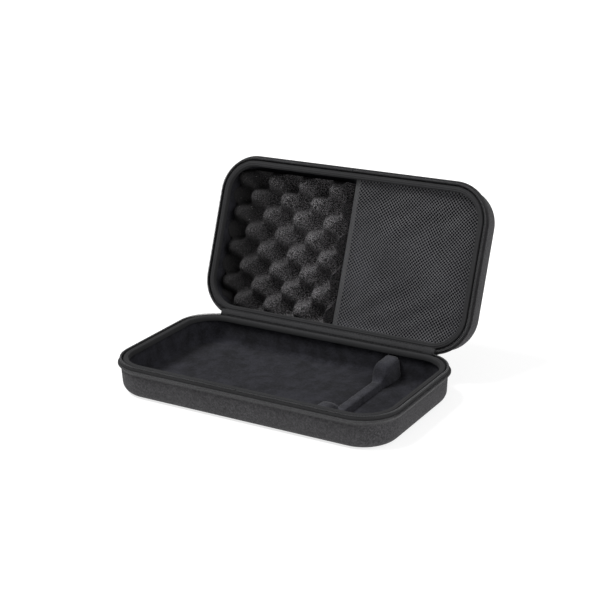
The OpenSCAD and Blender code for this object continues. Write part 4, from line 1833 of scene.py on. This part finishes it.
@dataclass
class CarryHandle:
    """The folding handle on the back: brackets, rivets, pins, frame and ribbed grip."""

    eye_x: float = 62.0
    pin_y: float = 120.0
    pin_z: float = 29.0
    pin_r: float = 1.5
    pin_l: float = 20.4
    eye_r: float = 3.6
    eye_w: float = 14.0
    arm_half: float = 5.4
    bar_z: float = 10.0
    bar_r: float = 3.0
    bend_r: float = 6.0
    grip_r: float = 4.9
    grip_half: float = 42.0
    rib_pitch: float = 6.0
    rib_depth: float = 0.9
    plate_w: float = 26.0
    plate_z: tuple[float, float] = (19.0, 33.0)
    plate_y: tuple[float, float] = (113.0, 116.0)
    ear_x: float = 8.7
    ear_r: float = 3.9
    ear_t: float = 2.9
    rivet_x: float = 10.6
    rivet_z: float = 22.0
    rivet_r: float = 1.8
    rivet_l: float = 1.9
    frame_sides: int = 24
    grip_sides: int = 32
    grip_steps: int = 112

    def build(self) -> None:
        """Builds and dresses the parts of the handle."""
        self._brackets()
        self._rivets()
        self._pins()
        self._frame()
        self._grip()

    def _brackets(self) -> None:
        """A recessed plate with two rounded ears, made once and copied."""
        x, (y0, y1), (z0, z1) = self.eye_x, self.plate_y, self.plate_z
        half = self.plate_w / 2
        plate = Workbench.block("plate", (x - half, y0, z0), (x + half, y1, z1))
        with Workbench.editing(plate, "EDGE"):
            Workbench.pick(plate, "edges", lambda e: abs((e.verts[0].co - e.verts[1].co).y) > 1)
            bpy.ops.mesh.bevel(offset=3.0, segments=5, affect="EDGES")
        with Workbench.editing(plate):
            Workbench.pick(plate, "faces", lambda face: face.normal.y > 0.9)
            bpy.ops.mesh.inset(thickness=1.5, depth=0.0)
            bpy.ops.mesh.inset(thickness=0.5, depth=-0.45)
        Workbench.bevel(plate, 0.35, segments=2)
        parts = [plate]
        foot = y1 - 0.9
        outline = [(foot, self.pin_z - 5.2), (self.pin_y - 1.6, self.pin_z - self.ear_r)]
        outline += arc((self.pin_y, self.pin_z), self.ear_r, -80, 80, 12)
        outline += [(self.pin_y - 1.6, self.pin_z + self.ear_r), (foot, self.pin_z + self.ear_r)]
        for side in (-1, 1):
            middle = x + side * self.ear_x
            rings = [
                [(middle + end * self.ear_t / 2, y, z) for y, z in outline] for end in (-1, 1)
            ]
            ear = Workbench.loft("ear", rings)
            Workbench.bevel(ear, 0.5, segments=3)
            parts.append(ear)
        right = Workbench.join("right_handle_bracket", parts)
        left = Workbench.copy(right, (-2 * x, 0, 0))
        left.name = left.data.name = "left_handle_bracket"
        fit(right, MOULDED, ["handle_bracket_right"], "base")
        fit(left, MOULDED, ["handle_bracket_left"], "base")

    def _headed(
        self, name: str, centre: Sequence[float], radius: float, length: float, axis: str
    ) -> bpy.types.Object:
        """A rivet or pin: a rod with rounded rims and a dimple in each end.

        Args:
            name: the piece's name.
            centre: its middle.
            radius: its radius.
            length: its length.
            axis: X, Y or Z.

        Returns:
            The new piece.
        """
        rod = Workbench.rod(name, centre, radius, length, axis, sides=28)
        Workbench.bevel(rod, radius * 0.28, segments=4, angle=60)
        side = "XYZ".index(axis)
        with Workbench.editing(rod):
            Workbench.pick(rod, "faces", lambda face: abs(face.normal[side]) > 0.99)
            bpy.ops.mesh.inset(thickness=radius * 0.25, depth=0.0)
            bpy.ops.mesh.inset(thickness=radius * 0.08, depth=-radius * 0.12)
        return rod

    def _rivets(self) -> None:
        """The rivet heads, one made and copied to four places."""
        first = (-self.eye_x - self.rivet_x, self.plate_y[1] - 0.05, self.rivet_z)
        head = self._headed("bracket_rivets", first, self.rivet_r, self.rivet_l, "Y")
        others = [
            Workbench.copy(head, (shift, 0, 0))
            for shift in (2 * self.rivet_x, 2 * self.eye_x, 2 * (self.eye_x + self.rivet_x))
        ]
        rivets = Workbench.join("bracket_rivets", [head, *others])
        fit(rivets, METAL, ["handle_rivets"], "base")

    def _pins(self) -> None:
        """The two pins the handle swings on."""
        pin = self._headed(
            "handle_swing_pins", (-self.eye_x, self.pin_y, self.pin_z), self.pin_r, self.pin_l, "X"
        )
        twin = Workbench.copy(pin, (2 * self.eye_x, 0, 0))
        pins = Workbench.join("handle_swing_pins", [pin, twin])
        fit(pins, METAL, ["handle_pins"], "base")

    def _frame(self) -> None:
        """The frame: two flat arms that run into a round bar, with an eye on each arm."""
        stations = []
        top, low = self.pin_z - 1.5, self.bar_z + self.bend_r
        for i in range(6):
            stations.append((self.eye_x, top + (low - top) * i / 6, 1.0, 0.0, i / 16))
        for i in range(9):
            a = math.pi / 2 * i / 8
            c, d = math.cos(a), math.sin(a)
            centre = self.eye_x - self.bend_r
            stations.append(
                (centre + self.bend_r * c, low - self.bend_r * d, c, -d, (6 + i) / 16)
            )
        for i in range(1, 7):
            stations.append(((self.eye_x - self.bend_r) * (1 - i / 6), self.bar_z, 0.0, -1.0, 1.0))
        left = [(-x, z, -nx, nz, share) for x, z, nx, nz, share in reversed(stations[:-1])]
        rings: list[Ring] = []
        for x, z, nx, nz, share in stations + left:
            ease = share * share * (3 - 2 * share)
            half = self.arm_half + (self.bar_r - self.arm_half) * ease
            power = 0.55 + 0.45 * ease
            ring: Ring = []
            for k in range(self.frame_sides):
                turn = 2 * math.pi * k / self.frame_sides
                c, d = math.cos(turn), math.sin(turn)
                across = half * math.copysign(abs(c) ** power, c)
                out = self.bar_r * math.copysign(abs(d) ** power, d)
                ring.append((x + nx * across, self.pin_y + out, z + nz * across))
            rings.append(ring)
        parts = [Workbench.loft("handle_bail", rings)]
        for side in (-1, 1):
            eye = Workbench.rod(
                "eye", (side * self.eye_x, self.pin_y, self.pin_z), self.eye_r, self.eye_w, "X", 32
            )
            Workbench.bevel(eye, 0.7, segments=3)
            with Workbench.editing(eye):
                Workbench.pick(eye, "faces", lambda face: abs(face.normal.x) > 0.99)
                bpy.ops.mesh.inset(thickness=0.7, depth=-0.25)
            parts.append(eye)
        bail = Workbench.join("handle_bail", parts)
        fit(bail, MOULDED, ["handle_frame"], "handle")

    def _grip(self) -> None:
        """The soft sleeve with its finger ribs and end collars."""
        rings: list[Ring] = []
        turns = [2 * math.pi * k / self.grip_sides for k in range(self.grip_sides)]
        for i in range(self.grip_steps + 1):
            x = -self.grip_half + 2 * self.grip_half * i / self.grip_steps
            inside = self.grip_half - abs(x)
            end = math.sqrt(1 - (1 - min(1.0, inside / 1.6)) ** 2)
            wave = 0.5 + 0.5 * math.cos(2 * math.pi * x / self.rib_pitch)
            ribbed = min(1.0, max(0.0, (inside - 5.0) / 2.0))
            radius = (self.grip_r - self.rib_depth * ribbed * (1 - wave**0.7)) * (0.72 + 0.28 * end)
            rings.append([
                (x, self.pin_y + radius * math.cos(turn), self.bar_z + radius * math.sin(turn))
                for turn in turns
            ])
        grip = Workbench.loft("ribbed_handle_grip", rings)
        fit(grip, RUBBER, ["handle_grip"], "handle")


@dataclass
class ZipHardware:
    """The sliders, their pulls and the end stops of the zip, drawn where the zip is open."""

    slider_x: float = 126.5
    slider_half: float = 7.0
    body_y: tuple[float, float] = (110.1, 115.5)
    body_z: tuple[float, float] = (44.2, 49.6)
    plate_t: float = 1.2
    pin_y: float = 117.3
    pin_z: float = 46.0
    pin_r: float = 0.8
    lug_x: float = 4.2
    lug_t: float = 1.5
    eye_r: float = 1.75
    pull_w: float = 6.4
    grip_top: float = 37.0
    grip_low: float = 20.0
    grip_half_t: float = 1.4
    rib_pitch: float = 2.6
    stop_low: tuple[float, float, float] = (-119.0, 111.55, 45.1)
    stop_high: tuple[float, float, float] = (-116.0, 114.05, 48.1)
    body_line: tuple[Point, ...] = (
        (-1, 0.82), (-0.8, 0.96), (-0.3, 1.0), (0.3, 1.0), (0.8, 0.96), (1, 0.82),
    )
    shank_line: tuple[Point, ...] = (
        (44.6, 1.0), (43.0, 1.0), (41.2, 0.78), (39.4, 0.74), (37.6, 0.86), (35.5, 0.86),
    )
    eye_sides: int = 28
    grip_sides: int = 20
    grip_steps: int = 52

    def build(self) -> None:
        """Builds the left slider and pull, and copies them to the right."""
        shift = (2 * self.slider_x, 0, 0)
        made = (
            (self._slider(), METAL, "zip_metal", "slider", "slider", "zip_slider"),
            (self._shank(), METAL, "zip_metal", "pull", "pull", "pull_shank"),
            (self._grip(), RUBBER, "handle_rubber", "pull_grip", "pull", "ribbed_pull_grip"),
        )
        for left, finish, slot, node, body, name in made:
            right = Workbench.copy(left, shift)
            for side, obj in (("left", left), ("right", right)):
                obj.name = obj.data.name = f"{side}_{name}"
                fit(obj, finish, [f"{node}_{side}"], f"{body}_{side}")
        self._stops()

    def _slider(self) -> bpy.types.Object:
        """The slider: a rounded channel over the coil, with lugs and a pin for the pull."""
        x, (y0, y1), (z0, z1), t = -self.slider_x, self.body_y, self.body_z, self.plate_t
        middle = (y0 + y1) / 2
        rings: list[Ring] = []
        for along, narrow in self.body_line:
            half = (y1 - y0) / 2 * narrow
            top = z1 - (1 - narrow) * 2.0
            outline = [
                (half, z0), (half, top - 0.7), (half - 0.7, top), (0.7 - half, top),
                (-half, top - 0.7), (-half, z0), (t - half, z0), (t - half, top - t),
                (half - t, top - t), (half - t, z0),
            ]
            rings.append([(x + along * self.slider_half, middle + y, z) for y, z in outline])
        parts = [Workbench.loft("body", rings)]
        Workbench.bevel(parts[0], 0.25, segments=2, angle=50)
        for side in (-1, 1):
            outline = [(y1 - 0.5, self.pin_z - self.eye_r)]
            outline += arc((self.pin_y, self.pin_z), self.eye_r, -90, 90, 10)
            outline += [(y1 - 0.5, self.pin_z + self.eye_r)]
            lug = Workbench.loft("lug", [
                [(x + side * self.lug_x + end * self.lug_t / 2, y, z) for y, z in outline]
                for end in (-1, 1)
            ])
            Workbench.bevel(lug, 0.25, segments=2)
            parts.append(lug)
        length = 2 * self.lug_x + 1.6
        pin = Workbench.rod("pin", (x, self.pin_y, self.pin_z), self.pin_r, length, "X", 16)
        Workbench.bevel(pin, 0.2, segments=2)
        return Workbench.join("slider", [*parts, pin])

    def _shank(self) -> bpy.types.Object:
        """The pull's metal shank: a bored eye that runs down into the grip."""
        x = -self.slider_x
        bore, reach = self.pin_r + 0.25, self.pull_w / 2 - 0.2
        turns = [2 * math.pi * k / self.eye_sides for k in range(self.eye_sides)]
        eye = Workbench.loft("eye", [
            [
                (x + side * reach, self.pin_y + self.eye_r * math.cos(turn),
                 self.pin_z + self.eye_r * math.sin(turn))
                for turn in turns
            ]
            for side in (-1, 1)
        ])
        with Workbench.editing(eye):
            Workbench.pick(eye, "faces", lambda face: abs(face.normal.x) > 0.9)
            bpy.ops.mesh.inset(thickness=self.eye_r - bore, depth=0.0)
            bpy.ops.mesh.bridge_edge_loops()
        Workbench.bevel(eye, 0.2, segments=2)
        half = self.pull_w / 2 - 0.25
        plate: list[Ring] = []
        for z, narrow in self.shank_line:
            w, t = half * narrow, 0.75
            plate.append([
                (x - w, self.pin_y - t, z), (x + w, self.pin_y - t, z),
                (x + w, self.pin_y + t, z), (x - w, self.pin_y + t, z),
            ])
        shank = Workbench.loft("shank", plate)
        Workbench.bevel(shank, 0.25, segments=2)
        return Workbench.join("shank", [eye, shank])

    def _grip(self) -> bpy.types.Object:
        """The soft grip of the pull, ribbed across and rounded at its end."""
        x, half = -self.slider_x, self.pull_w / 2
        rings: list[Ring] = []
        for i in range(self.grip_steps + 1):
            z = self.grip_low + (self.grip_top - self.grip_low) * i / self.grip_steps
            low, high = z - self.grip_low, self.grip_top - z
            end = math.sqrt(1 - (1 - min(1.0, (low + 0.05) / 3.0)) ** 2)
            neck = 0.82 + 0.18 * min(1.0, high / 2.5)
            wave = 0.5 + 0.5 * math.cos(2 * math.pi * z / self.rib_pitch)
            ribbed = min(1.0, max(0.0, (min(low, high) - 2.0) / 1.5))
            across = half * max(end, 0.25) * neck
            thick = self.grip_half_t * (1 - 0.28 * ribbed * (1 - wave)) * (0.7 + 0.3 * end)
            ring: Ring = []
            for k in range(self.grip_sides):
                turn = 2 * math.pi * k / self.grip_sides
                c, d = math.cos(turn), math.sin(turn)
                ring.append((
                    x + across * math.copysign(abs(c) ** 0.5, c),
                    self.pin_y + thick * math.copysign(abs(d) ** 0.7, d), z,
                ))
            rings.append(ring)
        return Workbench.loft("grip", rings)

    def _stops(self) -> None:
        """The two end stops crimped over the end of the coil."""
        stop = Workbench.block("crimped_end_stops", self.stop_low, self.stop_high)
        with Workbench.editing(stop):
            Workbench.pick(stop, "faces", lambda face: abs(face.normal.y) > 0.9)
            bpy.ops.mesh.inset(thickness=0.6, depth=-0.25)
        Workbench.bevel(stop, 0.3, segments=3)
        twin = Workbench.copy(stop, (-self.stop_low[0] - self.stop_high[0], 0, 0))
        stops = Workbench.join("crimped_end_stops", [stop, twin])
        fit(stops, METAL, ["zip_end_stops"], "base")


# --- studio


@dataclass(frozen=True)
class Studio:
    """The camera, the pale floor and the soft lights."""

    camera_place: tuple[float, float, float] = (0.92723, -1.48346, 0.75697)
    azimuth: float = 31.01
    elevation: float = 19.85
    roll: float = -1.17
    lens: float = 84.52
    sensor: float = 36.0
    floor_size: float = 40.0
    floor_grey: float = 0.45
    floor_glow: float = 0.72
    sky: float = 0.35
    suns: tuple[tuple[str, Colour, float, float], ...] = (
        ("sun_above_left", (-0.42, -0.30, 0.86), 22.0, 2.7),
        ("sun_right", (0.80, -0.25, 0.55), 40.0, 1.5),
    )

    def camera(self) -> None:
        """Sets the camera where the case is seen from the front right."""
        a, e, r = (math.radians(x) for x in (self.azimuth, self.elevation, self.roll))
        right = Vector((math.cos(a), math.sin(a), 0))
        back = Vector((math.sin(a) * math.cos(e), -math.cos(a) * math.cos(e), math.sin(e)))
        up = back.cross(right)
        rolled_right = math.cos(r) * right + math.sin(r) * up
        rolled_up = math.cos(r) * up - math.sin(r) * right
        Workbench.clear()
        bpy.ops.object.camera_add(location=self.camera_place)
        camera = bpy.context.active_object
        camera.name = "studio_camera"
        turn = Matrix((rolled_right, rolled_up, back)).transposed().to_4x4()
        camera.matrix_world = Matrix.Translation(self.camera_place) @ turn
        camera.data.lens = self.lens
        camera.data.sensor_width = self.sensor
        camera.data.clip_start, camera.data.clip_end = 0.01, 100.0
        bpy.context.scene.camera = camera

    def lights(self) -> None:
        """A pale floor, an even white sky and two wide soft suns."""
        scene = bpy.context.scene
        scene.view_settings.view_transform = "Standard"
        world = bpy.data.worlds.new("soft_sky")
        world.use_nodes = True
        backdrop = world.node_tree.nodes["Background"]
        backdrop.inputs["Color"].default_value = (1.0, 1.0, 1.0, 1.0)
        seen = Wiring(world.node_tree)
        direct = seen.node("ShaderNodeLightPath").outputs["Is Camera Ray"]
        glow = seen.math("MULTIPLY_ADD", direct, 1.0 - self.sky, self.sky)
        world.node_tree.links.new(glow, backdrop.inputs["Strength"])
        scene.world = world
        Workbench.clear()
        bpy.ops.mesh.primitive_plane_add(size=self.floor_size, location=(0, 0, 0))
        floor = Workbench.named("studio_floor")
        paint = bpy.data.materials.new("pale_floor")
        paint.use_nodes = True
        shader = paint.node_tree.nodes["Principled BSDF"]
        shader.inputs["Base Color"].default_value = (*[self.floor_grey] * 3, 1.0)
        shader.inputs["Emission Color"].default_value = (1.0, 1.0, 1.0, 1.0)
        shader.inputs["Emission Strength"].default_value = self.floor_glow
        shader.inputs["Roughness"].default_value = 0.9
        floor.data.materials.append(paint)
        for name, toward, spread, strength in self.suns:
            bpy.ops.object.light_add(type="SUN", location=Vector(toward) * 3)
            light = bpy.context.active_object
            light.name = name
            light.rotation_mode = "QUATERNION"
            light.rotation_quaternion = Vector(toward).to_track_quat("Z", "Y")
            light.data.energy, light.data.angle = strength, math.radians(spread)


# --- main


def main() -> None:
    """Builds the studio and then the case, piece by piece."""
    logging.basicConfig(level=logging.INFO, format="%(name)s: %(message)s")
    studio = Studio()
    studio.camera()
    case = CaseFrame.read()
    base = CaseShell(case, Half.BASE, case.base_h, wall=6.0, edge_radius=15.0, zip_start=119.0)
    lid = CaseShell(case, Half.LID, case.lid_h, wall=3.5, edge_radius=18.0, zip_start=156.0)
    base.build()
    lid.build()
    Hinge(case, base).build()
    Divider(case, base).build()
    EggCrateFoam(case, lid).build()
    NetPocket(case, lid).build()
    CarryHandle().build()
    ZipHardware().build()
    studio.lights()


if __name__ == "__main__":
    main()
